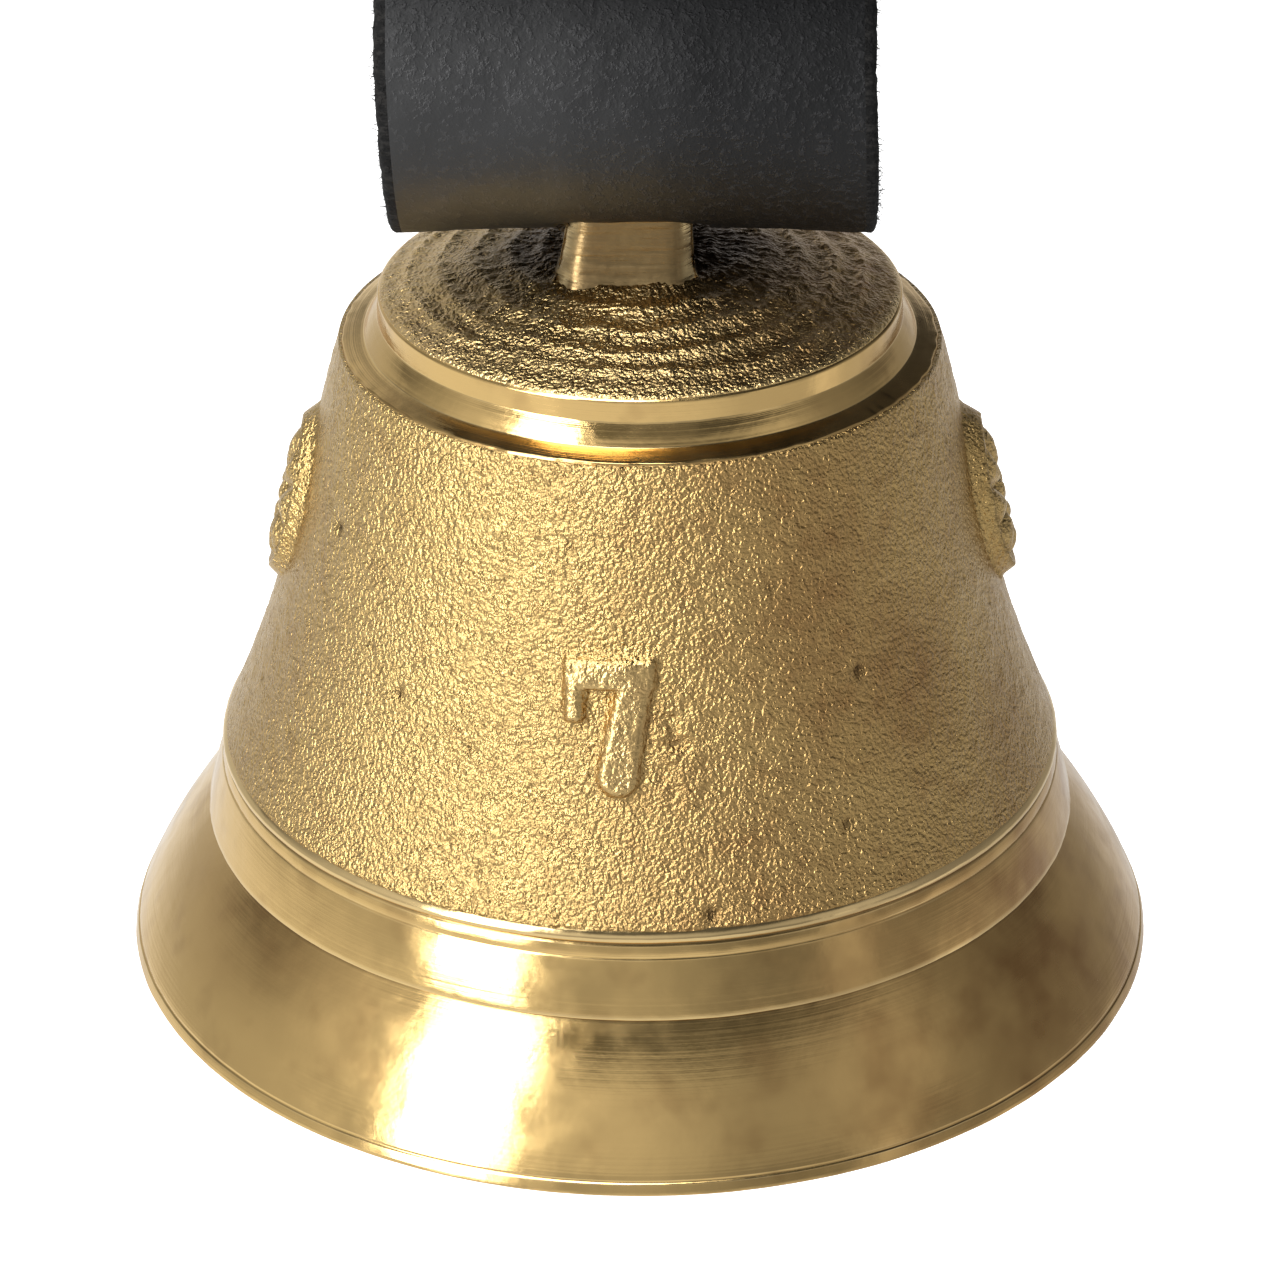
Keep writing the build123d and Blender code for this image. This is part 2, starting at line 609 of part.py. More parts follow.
os.makedirs("parts", exist_ok=True)
for name, shape in build().items():
    solids = [s for item in (shape if isinstance(shape, list) else [shape]) for s in item.solids()]
    export_step(Compound(children=solids) if len(solids) > 1 else solids[0], f"parts/{name}.step")
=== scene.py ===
"""A cast brass bell hung on a buckled leather strap: its surfaces, finishes, light and camera.

Lengths are millimetres until piece() turns them into metres.  +Z is up, the front looks along -Y,
and an azimuth is an angle round Z, from the front towards +X.
"""
import math

import bpy
import numpy as np
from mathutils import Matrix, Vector


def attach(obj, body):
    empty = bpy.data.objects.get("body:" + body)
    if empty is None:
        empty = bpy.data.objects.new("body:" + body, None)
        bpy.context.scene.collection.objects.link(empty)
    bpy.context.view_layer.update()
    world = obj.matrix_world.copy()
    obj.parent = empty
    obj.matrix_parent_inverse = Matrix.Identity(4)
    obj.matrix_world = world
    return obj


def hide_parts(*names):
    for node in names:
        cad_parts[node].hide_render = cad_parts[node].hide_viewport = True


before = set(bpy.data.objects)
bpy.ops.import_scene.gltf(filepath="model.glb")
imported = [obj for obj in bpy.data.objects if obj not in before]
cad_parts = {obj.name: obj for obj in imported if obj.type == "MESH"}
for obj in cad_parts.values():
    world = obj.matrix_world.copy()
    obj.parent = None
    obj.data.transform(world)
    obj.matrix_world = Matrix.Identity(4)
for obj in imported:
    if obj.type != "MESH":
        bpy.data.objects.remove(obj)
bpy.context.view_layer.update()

MM = 0.001
TURN = 2 * math.pi

# ---------------------------------------------------------------- camera

CAMERA_ELEVATION = math.radians(28.87)
CAMERA_DISTANCE = 370.8
CAMERA_AIM = (0, 0, 24.1)
CAMERA_LENS = 135


def point_at(thing, place, aim):
    """Stands a camera or lamp at place and turns it to look at aim."""
    thing.location = Vector(place) * MM
    thing.rotation_euler = (Vector(aim) - Vector(place)).to_track_quat("-Z", "Y").to_euler()


camera = bpy.data.objects.new("camera", bpy.data.cameras.new("camera"))
bpy.context.scene.collection.objects.link(camera)
bpy.context.scene.camera = camera
camera.data.lens = CAMERA_LENS
camera.data.sensor_width = 36
camera.data.clip_start = 0.01
point_at(camera, (0, -CAMERA_DISTANCE * math.cos(CAMERA_ELEVATION),
                  CAMERA_AIM[2] + CAMERA_DISTANCE * math.sin(CAMERA_ELEVATION)), CAMERA_AIM)

# ---------------------------------------------------------------- sizes shared with the frame

SKIRT_WALL = 3.7
RIB_TOP = (32.1, 17.8)
SKIRT_TOP = (22.2, 50.35)
CROWN_Z = 58.0
CEILING_Z = 53.4
CEILING_R = 18.5

PIN_Z = 66.05
LOOP_IN = 3.05
LOOP_WALL = 3.35

STRAP_W = 35.0
STRAP_T = 3.0
LAYER_GAP = 0.15
BEND_MID = 11.0
BEND_Z = 72.5
PINCH_R = 12.0
WAIST_L = 10.0
HANG_HALF = 17.0
HANG_TURN_R = 10.0
FRONT_L = 46.0
HEEL_TURN_R = 8.0
FOLD_MID = 3.6
TAB_L = 20.4
STEP_R = 12.0
STEP_Z = 2.0
TAIL_L = 46.0
TAIL_POINT = 9.0
FRAME_L = 18.0
BAR_R = 2.0
KEEPER_T = 1.6
KEEPER_SIDE_GAP = 0.4
KEEPER_FACE_GAP = 0.2

HALF_T = STRAP_T / 2
WAIST_Y = HALF_T + LAYER_GAP
PINCH_ANGLE = math.acos((PINCH_R + WAIST_Y) / (PINCH_R + BEND_MID))
WAIST_Z = BEND_Z + (PINCH_R + BEND_MID) * math.sin(PINCH_ANGLE)
HANG_ANGLE = math.acos(1 - (HANG_HALF - WAIST_Y) / (2 * HANG_TURN_R))
HANG_Z = WAIST_Z + WAIST_L + 2 * HANG_TURN_R * math.sin(HANG_ANGLE)
HEEL_Z = HANG_Z + FRONT_L
HEEL_Y = -(HANG_HALF - FOLD_MID)
TAB_Y = -(HANG_HALF - STRAP_T - LAYER_GAP)
TAB_ANGLE = math.acos(1 - (HEEL_Y + FOLD_MID - TAB_Y) / (2 * HEEL_TURN_R))
TAIL_Y = -(HANG_HALF + STRAP_T + LAYER_GAP)
STEP_ANGLE = math.acos(1 + (TAIL_Y + HANG_HALF) / (2 * STEP_R))
STEP_TOP_Z = HEEL_Z + STEP_Z + 2 * STEP_R * math.sin(STEP_ANGLE)
TOP_Z = HEEL_Z + FRAME_L + BAR_R

# ---------------------------------------------------------------- making meshes


def cells(rows, cols, loop_rows=False, loop_cols=False):
    """Corner numbers of the quads of a grid numbered row by row; a looped way closes on itself."""
    row, col = np.meshgrid(np.arange(rows if loop_rows else rows - 1),
                           np.arange(cols if loop_cols else cols - 1), indexing="ij")
    row2, col2 = (row + 1) % rows, (col + 1) % cols
    quads = [row * cols + col, row * cols + col2, row2 * cols + col2, row2 * cols + col]
    return np.stack(quads, -1).reshape(-1, 4)


def skin(rings, loop=False):
    """Points and faces over rings of points: quads from ring to ring, and a fan over each open end."""
    rows, cols = rings.shape[:2]
    points = rings.reshape(-1, 3)
    quads = cells(rows, cols, loop, True)
    if loop:
        return points, [quads]
    here = np.arange(cols)
    after = (here + 1) % cols
    count = rows * cols
    first = np.stack([np.full(cols, count), after, here], -1)
    last = np.stack([np.full(cols, count + 1), count - cols + here, count - cols + after], -1)
    return np.vstack([points, rings[[0, -1]].mean(1)]), [quads, np.vstack([first, last])]


def joined(*shells):
    """Several shells of points and faces as one."""
    points, faces, count = [], [], 0
    for shell_points, groups in shells:
        points.append(shell_points)
        faces += [group + count for group in outward(shell_points, groups)]
        count += len(shell_points)
    return np.vstack(points), faces


def outward(points, faces):
    """The faces, all turned round if the volume they hold comes out negative."""
    volume = 0.0
    for group in faces:
        for k in range(1, group.shape[1] - 1):
            a, b, c = points[group[:, 0]], points[group[:, k]], points[group[:, k + 1]]
            volume += float(np.einsum("ij,ij->", a, np.cross(b, c)))
    return faces if volume > 0 else [group[:, ::-1] for group in faces]


def piece(name, shell, materials, body, stands_for=(), values=None, part=None):
    """One finished object from points in millimetres and arrays of faces.

    values are numbers per point, kept as attributes, with zeros for points past their end, and part is
    the material number of each face.
    """
    points, faces = shell
    faces = outward(points, faces)
    mesh = bpy.data.meshes.new(name)
    corners = np.concatenate([group.ravel() for group in faces])
    counts = np.concatenate([np.full(len(group), group.shape[1]) for group in faces])
    mesh.vertices.add(len(points))
    mesh.loops.add(len(corners))
    mesh.polygons.add(len(counts))
    mesh.vertices.foreach_set("co", (points * MM).astype(np.float32).ravel())
    mesh.loops.foreach_set("vertex_index", corners.astype(np.int32))
    mesh.polygons.foreach_set("loop_start", (np.cumsum(counts) - counts).astype(np.int32))
    mesh.update(calc_edges=True)
    mesh.polygons.foreach_set("use_smooth", np.ones(len(counts), bool))
    for material in materials:
        mesh.materials.append(material)
    if part is not None:
        mesh.polygons.foreach_set("material_index", part.astype(np.int32))
    for key, numbers in (values or {}).items():
        attribute = mesh.attributes.new(key, "FLOAT", "POINT")
        flat = np.pad(np.ravel(numbers), (0, len(points) - np.size(numbers)))
        attribute.data.foreach_set("value", flat.astype(np.float32))
    thing = bpy.data.objects.new(name, mesh)
    bpy.context.scene.collection.objects.link(thing)
    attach(thing, body)
    if stands_for:
        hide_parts(*stands_for)
    return thing


def leg(a, b, bulge=0.0, count=60):
    """Points from a to b, pushed to the right of the way by a parabola that is bulge high in the middle."""
    a, b = np.array(a, float), np.array(b, float)
    t = np.linspace(0, 1, count)[:, None]
    ahead = (b - a) / np.linalg.norm(b - a)
    side = np.array([ahead[1], -ahead[0]])
    return a + (b - a) * t + side * 4 * bulge * t * (1 - t)


def outline(*points):
    """Legs from point to point: radius, height, and the bulge of the leg that ends there if it has one."""
    return np.vstack([leg(a[:2], b[:2], *b[2:]) for a, b in zip(points, points[1:])])


def lengths(line):
    """Distance along a line of points to each of them."""
    return np.concatenate([[0], np.cumsum(np.linalg.norm(np.diff(line, axis=0), axis=1))])


def softened(line, radius, step=0.03):
    """The line at even steps, averaged over a bell-shaped window, so that its corners get about radius."""
    along = lengths(line)
    even = np.linspace(0, along[-1], int(along[-1] / step) + 1)
    dense = np.stack([np.interp(even, along, line[:, k]) for k in range(line.shape[1])], -1)
    reach = int(3 * radius / step) + 1
    window = np.exp(-0.5 * (np.arange(-reach, reach + 1) * step / radius) ** 2)
    window /= window.sum()
    before = 2 * dense[0] - dense[reach:0:-1]
    after = 2 * dense[-1] - dense[-2:-reach - 2:-1]
    padded = np.vstack([before, dense, after])
    return np.stack([np.convolve(padded[:, k], window, "valid") for k in range(line.shape[1])], -1)


def thinned(line, longest, bend):
    """Fewer points: one for each longest millimetres and one for each bend radians of turning."""
    ahead = np.diff(line, axis=0)
    way = np.unwrap(np.arctan2(ahead[:, 1], ahead[:, 0]))
    turning = np.concatenate([[0], np.abs(np.diff(way)), [0]])
    along = lengths(line)
    cost = np.cumsum(turning / bend) + along / longest
    chosen = np.linspace(0, cost[-1], int(cost[-1]) + 2)
    return np.stack([np.interp(chosen, cost, line[:, k]) for k in range(line.shape[1])], -1)


def turned(radius, height, azimuth):
    """Rings round Z: one row per outline point, one column per azimuth."""
    spread = np.zeros(np.broadcast_shapes(np.shape(radius), np.shape(azimuth)))
    return np.stack([radius * np.sin(azimuth) + spread, -radius * np.cos(azimuth) + spread,
                     height + spread], -1)


def bumps(u, v, across, down, seed):
    """Smooth random heights from -1 to 1 over u and v from 0 to 1; u wraps round.

    Seeded random values stand on a lattice, and a smooth step joins each to its neighbours.
    """
    values = np.random.default_rng(seed).uniform(-1, 1, (down + 2, across))
    x, y = u * across, np.clip(v, 0, 1) * down
    col, row = np.floor(x).astype(int), np.floor(y).astype(int)
    a, b = x - col, y - row
    a, b = a * a * (3 - 2 * a), b * b * (3 - 2 * b)
    col, col2 = col % across, (col + 1) % across
    low = values[row, col] * (1 - a) + values[row, col2] * a
    high = values[row + 1, col] * (1 - a) + values[row + 1, col2] * a
    return low * (1 - b) + high * b


def around(count):
    """Azimuths all the way round, as one row, from back to back."""
    return np.linspace(-math.pi, math.pi, count, endpoint=False)[None, :]


def ramp(value, start, span):
    """0 at start and 1 at span beyond it; a negative span looks below start."""
    return np.clip((value - start) / span, 0, 1)


def peak(value, middle, reach):
    """1 at middle, falling evenly to 0 at reach on either side."""
    return np.clip(1 - np.abs(value - middle) / reach, 0, 1)


def spot_gap(radius, azimuth, z, place, height, squash=1.0):
    """Distance on a turned surface to a spot at an azimuth in degrees; the far side is out of reach."""
    away = azimuth - math.radians(place)
    return np.where(np.cos(away) > 0, np.hypot(radius * np.sin(away), (z - height) * squash), np.inf)


def spun(line, count):
    """Azimuth, radius, height and share of the turn at every point of an outline carried round Z."""
    azimuth = around(count)
    radius, z = line[:, :1] + 0 * azimuth, line[:, 1:] + 0 * azimuth
    return azimuth, radius, z, (azimuth / TURN) % 1 + 0 * z


def rounded_box(u, v, half_u, half_v, corner):
    """Distance outside a rounded rectangle about the origin, negative inside it."""
    du, dv = np.abs(u) - half_u + corner, np.abs(v) - half_v + corner
    return np.hypot(np.maximum(du, 0), np.maximum(dv, 0)) + np.minimum(np.maximum(du, dv), 0) - corner


def crest(inside, width):
    """Height from 0 to 1 of a raised mark with rounded edges, from the distance inside its outline."""
    t = np.clip(inside / width, 0, 1)
    return np.sqrt(np.clip(1 - (1 - t) ** 2, 0, 1)) * (0.55 + 0.45 * t)


# ---------------------------------------------------------------- shader nodes


def give(socket, value):
    """Links another socket to an input, or sets the input's value."""
    if isinstance(value, bpy.types.NodeSocket):
        socket.id_data.links.new(value, socket)
    else:
        socket.default_value = value


def node(tree, kind, inputs=None, **settings):
    """A node with its settings made and its inputs filled with values or linked from sockets."""
    made = tree.nodes.new(kind)
    for key, value in settings.items():
        setattr(made, key, value)
    for key, value in (inputs or {}).items():
        give(made.inputs[key], value)
    return made


def maths(operation, a, b=0.0, clamp=False):
    """The output of a Math node, in the tree of the socket that is a or b."""
    tree = (a if isinstance(a, bpy.types.NodeSocket) else b).id_data
    return node(tree, "ShaderNodeMath", {0: a, 1: b}, operation=operation, use_clamp=clamp).outputs[0]


def plus(a, b, clamp=False):
    """The sum of two numbers, at least one of them a socket."""
    return maths("ADD", a, b, clamp)


def minus(a, b):
    """The difference of two numbers, at least one of them a socket."""
    return maths("SUBTRACT", a, b)


def times(a, b):
    """The product of two numbers, at least one of them a socket."""
    return maths("MULTIPLY", a, b)


def ranged(value, low, high, to_low=0.0, to_high=1.0):
    """A value taken from one range to another, with a smooth start and end."""
    ends = {"Value": value, "From Min": low, "From Max": high, "To Min": to_low, "To Max": to_high}
    return node(value.id_data, "ShaderNodeMapRange", ends, interpolation_type="SMOOTHSTEP").outputs[0]


def noise(place, scale, detail, roughness=0.5, distortion=0.0):
    """The height of a noise texture at a place."""
    return node(place.id_data, "ShaderNodeTexNoise", {
        "Vector": place, "Scale": scale, "Detail": detail, "Roughness": roughness,
        "Distortion": distortion}).outputs["Fac"]


def mix_colour(share, a, b):
    """Two colours mixed by a share."""
    made = share.id_data.nodes.new("ShaderNodeMix")
    made.data_type = "RGBA"
    for index, value in ((0, share), (6, a), (7, b)):
        give(made.inputs[index], (*value, 1) if isinstance(value, tuple) else value)
    return made.outputs[2]


def group(name, inputs, outputs, fill):
    """A node group: inputs by name, kind and value, outputs by name, and an inside made by fill."""
    tree = bpy.data.node_groups.new(name, "ShaderNodeTree")
    for label, kind, value in inputs:
        socket = tree.interface.new_socket(label, in_out="INPUT", socket_type="NodeSocket" + kind)
        if value is not None:
            socket.default_value = value
    for label in outputs:
        tree.interface.new_socket(label, in_out="OUTPUT", socket_type="NodeSocketFloat")
    start = tree.nodes.new("NodeGroupInput")
    end = tree.nodes.new("NodeGroupOutput")
    for label, value in fill(tree, start.outputs).items():
        tree.links.new(value, end.inputs[label])
    return tree


def use(made, place, **inputs):
    """The outputs of a group placed in the tree of place; its inputs go by their names in small letters."""
    tree = place.id_data
    placed = tree.nodes.new("ShaderNodeGroup")
    placed.node_tree = made
    for key, value in {"vector": place, **inputs}.items():
        give(placed.inputs[key.capitalize()], value)
    return placed.outputs


def cast_grain_inside(tree, given):
    """Sand-cast skin: wrinkled lumps a little apart, finer crumbs between them, and broad unevenness."""
    place, scale = given["Vector"], given["Scale"]
    warp = node(tree, "ShaderNodeTexNoise", {"Vector": place, "Scale": times(scale, 0.7), "Detail": 1.0})
    bent = node(tree, "ShaderNodeVectorMath", {0: warp.outputs["Color"], "Scale": 0.00045}, operation="SCALE")
    where = node(tree, "ShaderNodeVectorMath", {0: place, 1: bent.outputs[0]}, operation="ADD").outputs[0]
    lumps = node(tree, "ShaderNodeTexVoronoi", {"Vector": where, "Scale": scale, "Smoothness": 0.5},
                 feature="SMOOTH_F1").outputs["Distance"]
    fine = noise(place, times(scale, 1.3), 2.0, 0.6)
    broad = noise(place, times(scale, 0.2), 3.0, 0.55)
    return {"Height": plus(times(lumps, -0.9), times(fine, 1.1)), "Broad": broad}


def lathe_lines_inside(tree, given):
    """Fine lines round Z: random heights read along radius and height alone, in two sizes."""
    parts = node(tree, "ShaderNodeSeparateXYZ", {"Vector": given["Vector"]}).outputs
    across = maths("SQRT", plus(times(parts["X"], parts["X"]), times(parts["Y"], parts["Y"])))
    place = plus(minus(parts["Z"], across), times(noise(given["Vector"], 60.0, 1.0), 0.0004))
    close, wide = (
        node(tree, "ShaderNodeTexNoise", {"W": place, "Scale": scale, "Detail": detail},
             noise_dimensions="1D").outputs["Fac"]
        for scale, detail in ((given["Scale"], 2.0), (times(given["Scale"], 0.23), 1.0)))
    return {"Height": plus(close, times(wide, 1.5))}


def tarnish_inside(tree, given):
    """Brown patches with ragged edges, as a share from 0 to 1, and a fine mottle."""
    broad = noise(given["Vector"], given["Scale"], 5.0, 0.62, 0.6)
    mottle = noise(given["Vector"], times(given["Scale"], 9.0), 2.0)
    total = plus(broad, times(minus(mottle, 0.5), 0.25))
    edge = minus(1.0, given["Amount"])
    return {"Patches": ranged(minus(total, edge), -0.12, 0.12), "Mottle": mottle}


def scratches_inside(tree, given):
    """Thin scratches along one way: noise read through a stretched Mapping."""
    stretched = node(tree, "ShaderNodeMapping",
                     {"Vector": given["Vector"], "Scale": given["Stretch"]}).outputs[0]
    lines = noise(stretched, 1.0, 3.0, 0.6)
    return {"Height": lines, "Lines": ranged(lines, 0.45, 0.62)}


def leather_grain_inside(tree, given):
    """Leather: shallow pebbles, finer grit with scattered proud tips, and soft broad unevenness."""
    place, scale = given["Vector"], given["Scale"]
    pebbles = noise(place, scale, 2.0, 0.6, 0.1)
    fine = noise(place, times(scale, 3.0), 2.0, 0.6)
    broad = noise(place, times(scale, 0.1), 3.0)
    tips = ranged(plus(pebbles, times(fine, 0.4)), 0.74, 0.86)
    height = plus(plus(pebbles, times(fine, 0.35)), times(tips, 0.5))
    return {"Height": height, "Fine": fine, "Broad": broad, "Tips": tips}


PLACE_AND_SCALE = [("Vector", "Vector", None), ("Scale", "Float", 1000.0)]
CAST_GRAIN = group("cast_grain", PLACE_AND_SCALE, ["Height", "Broad"], cast_grain_inside)
LATHE_LINES = group("lathe_lines", PLACE_AND_SCALE, ["Height"], lathe_lines_inside)
TARNISH = group("tarnish", PLACE_AND_SCALE + [("Amount", "Float", 0.5)], ["Patches", "Mottle"],
                tarnish_inside)
SCRATCHES = group("scratches", [("Vector", "Vector", None), ("Stretch", "Vector", (1, 1, 1))],
                  ["Height", "Lines"], scratches_inside)
LEATHER_GRAIN = group("leather_grain", PLACE_AND_SCALE, ["Height", "Fine", "Broad", "Tips"],
                      leather_grain_inside)


def material(name, fill):
    """A material with one Principled BSDF. fill gets the tree, the Object coordinates and the shader."""
    made = bpy.data.materials.new(name)
    made.use_nodes = True
    tree = made.node_tree
    shader = tree.nodes["Principled BSDF"]
    place = tree.nodes.new("ShaderNodeTexCoord").outputs["Object"]
    fill(tree, place, shader)
    return made


def feed(shader, **values):
    """Gives values to the shader's inputs; an underscore stands for a space."""
    for key, value in values.items():
        give(shader.inputs[key.replace("_", " ")], value)


def bumped(*layers):
    """The normal after one or more bumps, each a height and its depth in millimetres."""
    normal = None
    for height, depth in layers:
        made = node(height.id_data, "ShaderNodeBump", {"Height": height, "Distance": depth * MM,
                                                       "Strength": 1.0})
        if normal is not None:
            give(made.inputs["Normal"], normal)
        normal = made.outputs["Normal"]
    return normal


def attribute(tree, name):
    """A number kept on the mesh's points."""
    return node(tree, "ShaderNodeAttribute", attribute_name=name).outputs["Fac"]


BRASS = (0.73, 0.50, 0.20)
BRASS_PALE = (0.86, 0.66, 0.34)
BRASS_BROWN = (0.33, 0.185, 0.07)
# The darkest brass is painted shade, laid on pits, grooves and the crown under the strap.
PAINTED_SHADE_BRASS = (0.07, 0.04, 0.018)


def brass(name, base, grain_scale, grain_depth, line_depth, tarnish, rough, patch_scale=55.0):
    """Cast or turned brass: grain and lathe lines by depth, brown patches, paler where it is worn and where
    highlights are painted, and darker where shade is painted.
    """
    def fill(tree, place, shader):
        grain = use(CAST_GRAIN, place, scale=grain_scale)
        lines = use(LATHE_LINES, place, scale=3200.0)
        stain = use(TARNISH, place, scale=patch_scale, amount=tarnish)
        wear_and_highlight = attribute(tree, "wear_and_highlight")
        painted_shade = attribute(tree, "painted_shade")
        brown = attribute(tree, "brown")
        patches = plus(times(stain["Patches"], 0.3),
                        times(brown, plus(stain["Mottle"], 0.5)), clamp=True)
        colour = mix_colour(patches, base, BRASS_BROWN)
        colour = mix_colour(ranged(stain["Mottle"], 0.52, 0.75, 0.0, 0.25), colour, BRASS_BROWN)
        # Pale for wear, and pale for highlights painted along some turned edges.
        colour = mix_colour(times(wear_and_highlight, 0.8), colour, BRASS_PALE)
        # Painted shade: the colour goes nearly black where the mesh's shade number is high.
        colour = mix_colour(painted_shade, colour, PAINTED_SHADE_BRASS)
        roughness = ranged(grain["Broad"], 0.3, 0.7, rough - 0.04, rough + 0.05)
        roughness = plus(roughness, times(patches, 0.08))
        roughness = minus(roughness, times(wear_and_highlight, 0.05))
        rubbed = minus(1.0, attribute(tree, "smooth"))
        normal = bumped((lines["Height"], line_depth), (times(grain["Height"], rubbed), grain_depth))
        feed(shader, Base_Color=colour, Metallic=1.0, Roughness=roughness, Normal=normal)
    return material(name, fill)


BRASS_SKIRT = brass("brass_as_cast", (0.58, 0.40, 0.155), 2900.0, 0.16, 0.0, 0.28, 0.26)
BRASS_TURNED = brass("brass_turned", BRASS, 1900.0, 0.003, 0.006, 0.34, 0.17, 28.0)
BRASS_CROWN = brass("brass_crown", (0.78, 0.56, 0.25), 3000.0, 0.12, 0.0, 0.36, 0.26)
BRASS_COLLAR = brass("brass_collar", BRASS, 1900.0, 0.004, 0.012, 0.34, 0.16, 28.0)


def filed_shaded_brass(tree, place, shader):
    """Brass filed by hand: level file marks, worn pale edges, and a dark brown colour that is painted shade.
    """
    marks = use(SCRATCHES, place, stretch=(160.0, 160.0, 3200.0))
    grain = use(CAST_GRAIN, place, scale=1500.0)
    stain = use(TARNISH, place, scale=90.0, amount=0.42)
    wear_and_highlight = attribute(tree, "wear_and_highlight")
    # A dark brown well below the other brass: painted shade on the loop under the strap.
    colour = mix_colour(plus(times(stain["Patches"], 0.3), 0.68, clamp=True),
                        (0.30, 0.22, 0.10), (0.22, 0.15, 0.07))
    colour = mix_colour(times(wear_and_highlight, 0.8), colour, BRASS_PALE)
    roughness = minus(ranged(marks["Height"], 0.35, 0.65, 0.28, 0.42), times(wear_and_highlight, 0.1))
    normal = bumped((marks["Height"], 0.06), (grain["Height"], 0.015))
    feed(shader, Base_Color=colour, Metallic=1.0, Roughness=roughness, Normal=normal)


BRASS_FILED_SHADED = material("brass_filed_shaded", filed_shaded_brass)


def smooth_metal(name, colour, dull, rough, grain=0.006, patches=0.4):
    """A drawn or turned metal part: fine scratches, dull patches, slight unevenness."""
    def fill(tree, place, shader):
        marks = use(SCRATCHES, place, stretch=(2400.0, 500.0, 900.0))
        stain = use(TARNISH, place, scale=160.0, amount=patches)
        uneven = use(CAST_GRAIN, place, scale=900.0)
        shade = mix_colour(times(stain["Patches"], 0.8), colour, dull)
        shade = mix_colour(ranged(stain["Mottle"], 0.55, 0.8, 0.0, 0.4), shade, dull)
        roughness = plus(ranged(marks["Height"], 0.35, 0.65, rough - 0.06, rough + 0.08),
                          times(stain["Patches"], 0.12))
        normal = bumped((marks["Height"], grain), (uneven["Height"], grain * 1.5))
        feed(shader, Base_Color=shade, Metallic=1.0, Roughness=roughness, Normal=normal)
    return material(name, fill)


BUCKLE_BRASS = smooth_metal("brass_buckle", (0.78, 0.56, 0.24), (0.40, 0.24, 0.09), 0.24)
RIVET_BRASS = smooth_metal("brass_rivet", (0.76, 0.54, 0.25), (0.36, 0.21, 0.08), 0.30)
CLAPPER_STEEL = smooth_metal("steel_wire", (0.42, 0.41, 0.40), (0.16, 0.13, 0.11), 0.38, 0.01)
PIN_STEEL = smooth_metal("steel_pin", (0.52, 0.52, 0.52), (0.24, 0.22, 0.20), 0.30)
BALL_IRON = smooth_metal("iron_ball", (0.24, 0.23, 0.22), (0.10, 0.07, 0.05), 0.48, 0.03, 0.5)


def leather(name, colour, tip_glint, scale, depth, rough):
    """Black leather: fine grain with a painted glint of paler colour on its proud tips, flatter and glossier
    where the piece is polished.
    """
    def fill(tree, place, shader):
        grain = use(LEATHER_GRAIN, place, scale=scale)
        darker = tuple(c * 0.6 for c in colour)
        shade = mix_colour(ranged(grain["Broad"], 0.35, 0.7, 0.0, 0.5), colour, darker)
        # Paler colour on the proud grain tips: a painted glint.
        shade = mix_colour(times(grain["Tips"], 0.5), shade, tip_glint)
        polish = attribute(tree, "polish")
        roughness = plus(ranged(grain["Fine"], 0.35, 0.7, rough + 0.08, rough - 0.08),
                          ranged(grain["Broad"], 0.3, 0.7, -0.04, 0.05))
        roughness = minus(roughness, times(polish, 0.18))
        height = times(grain["Height"], minus(1.0, times(polish, 0.8)))
        feed(shader, Base_Color=shade, Normal=bumped((height, depth)),
             Specular_IOR_Level=plus(0.05, times(polish, 0.65)))
    return material(name, fill)


STRAP_LEATHER = leather("leather_strap", (0.0036, 0.0038, 0.0043), (0.018, 0.018, 0.019), 1900.0, 0.09, 0.38)
KEEPER_LEATHER = leather("leather_keeper", (0.012, 0.011, 0.0105), (0.035, 0.03, 0.028), 1700.0, 0.09, 0.38)


def cut_edge(tree, place, shader):
    """A raw cut through leather: matted fibres, dyed black and paler at their tips."""
    fibres = use(SCRATCHES, place, stretch=(900.0, 2600.0, 2600.0))
    grain = use(LEATHER_GRAIN, place, scale=1500.0)
    shade = mix_colour(fibres["Lines"], (0.006, 0.006, 0.006), (0.018, 0.017, 0.016))
    feed(shader, Base_Color=shade, Roughness=0.85, Specular_IOR_Level=0.2,
         Normal=bumped((grain["Height"], 0.15), (fibres["Height"], 0.2)))


CUT_EDGE = material("leather_cut_edge", cut_edge)

# ---------------------------------------------------------------- the bell

SKIRT_HEIGHTS = np.array([17.76, 19.5, 22.0, 26.0, 31.0, 37.0, 43.0, 48.0, 50.4])
SKIRT_RADII = np.array([32.15, 31.35, 30.35, 28.97, 27.41, 25.75, 24.37, 23.21, 22.43])
SKIRT_MIDDLE = 34
SKIRT_CURVE = np.polyfit(SKIRT_HEIGHTS - SKIRT_MIDDLE, SKIRT_RADII, 4)
SKIRT_Z = (17.7, 50.4)
SKIRT_COLUMNS = 640
INNER_ROWS = 14
ROSETTE_Z = 37.2


def skirt_radius(z):
    """The skirt's outside radius, a polynomial of height through its measured rings."""
    return np.polyval(SKIRT_CURVE, z - SKIRT_MIDDLE)


def numeral(x, z):
    """Height from 0 to 1 of a raised seven: top bar, left serif, and a leaning stem wider at its foot."""
    bar = -rounded_box(x + 2.15, z - 35.8, 3.4, 1.3, 0.5)
    serif = -rounded_box(x + 4.65, z - 34.6, 0.85, 2.5, 0.6)
    t = ramp(z, 35.0, -6.4)
    stem = 1.4 + 0.25 * t - np.hypot(x + 0.25 + 1.3 * t ** 0.75, z - (35.0 - 6.4 * t))
    return crest(np.maximum(np.maximum(bar, serif), stem), 0.5)


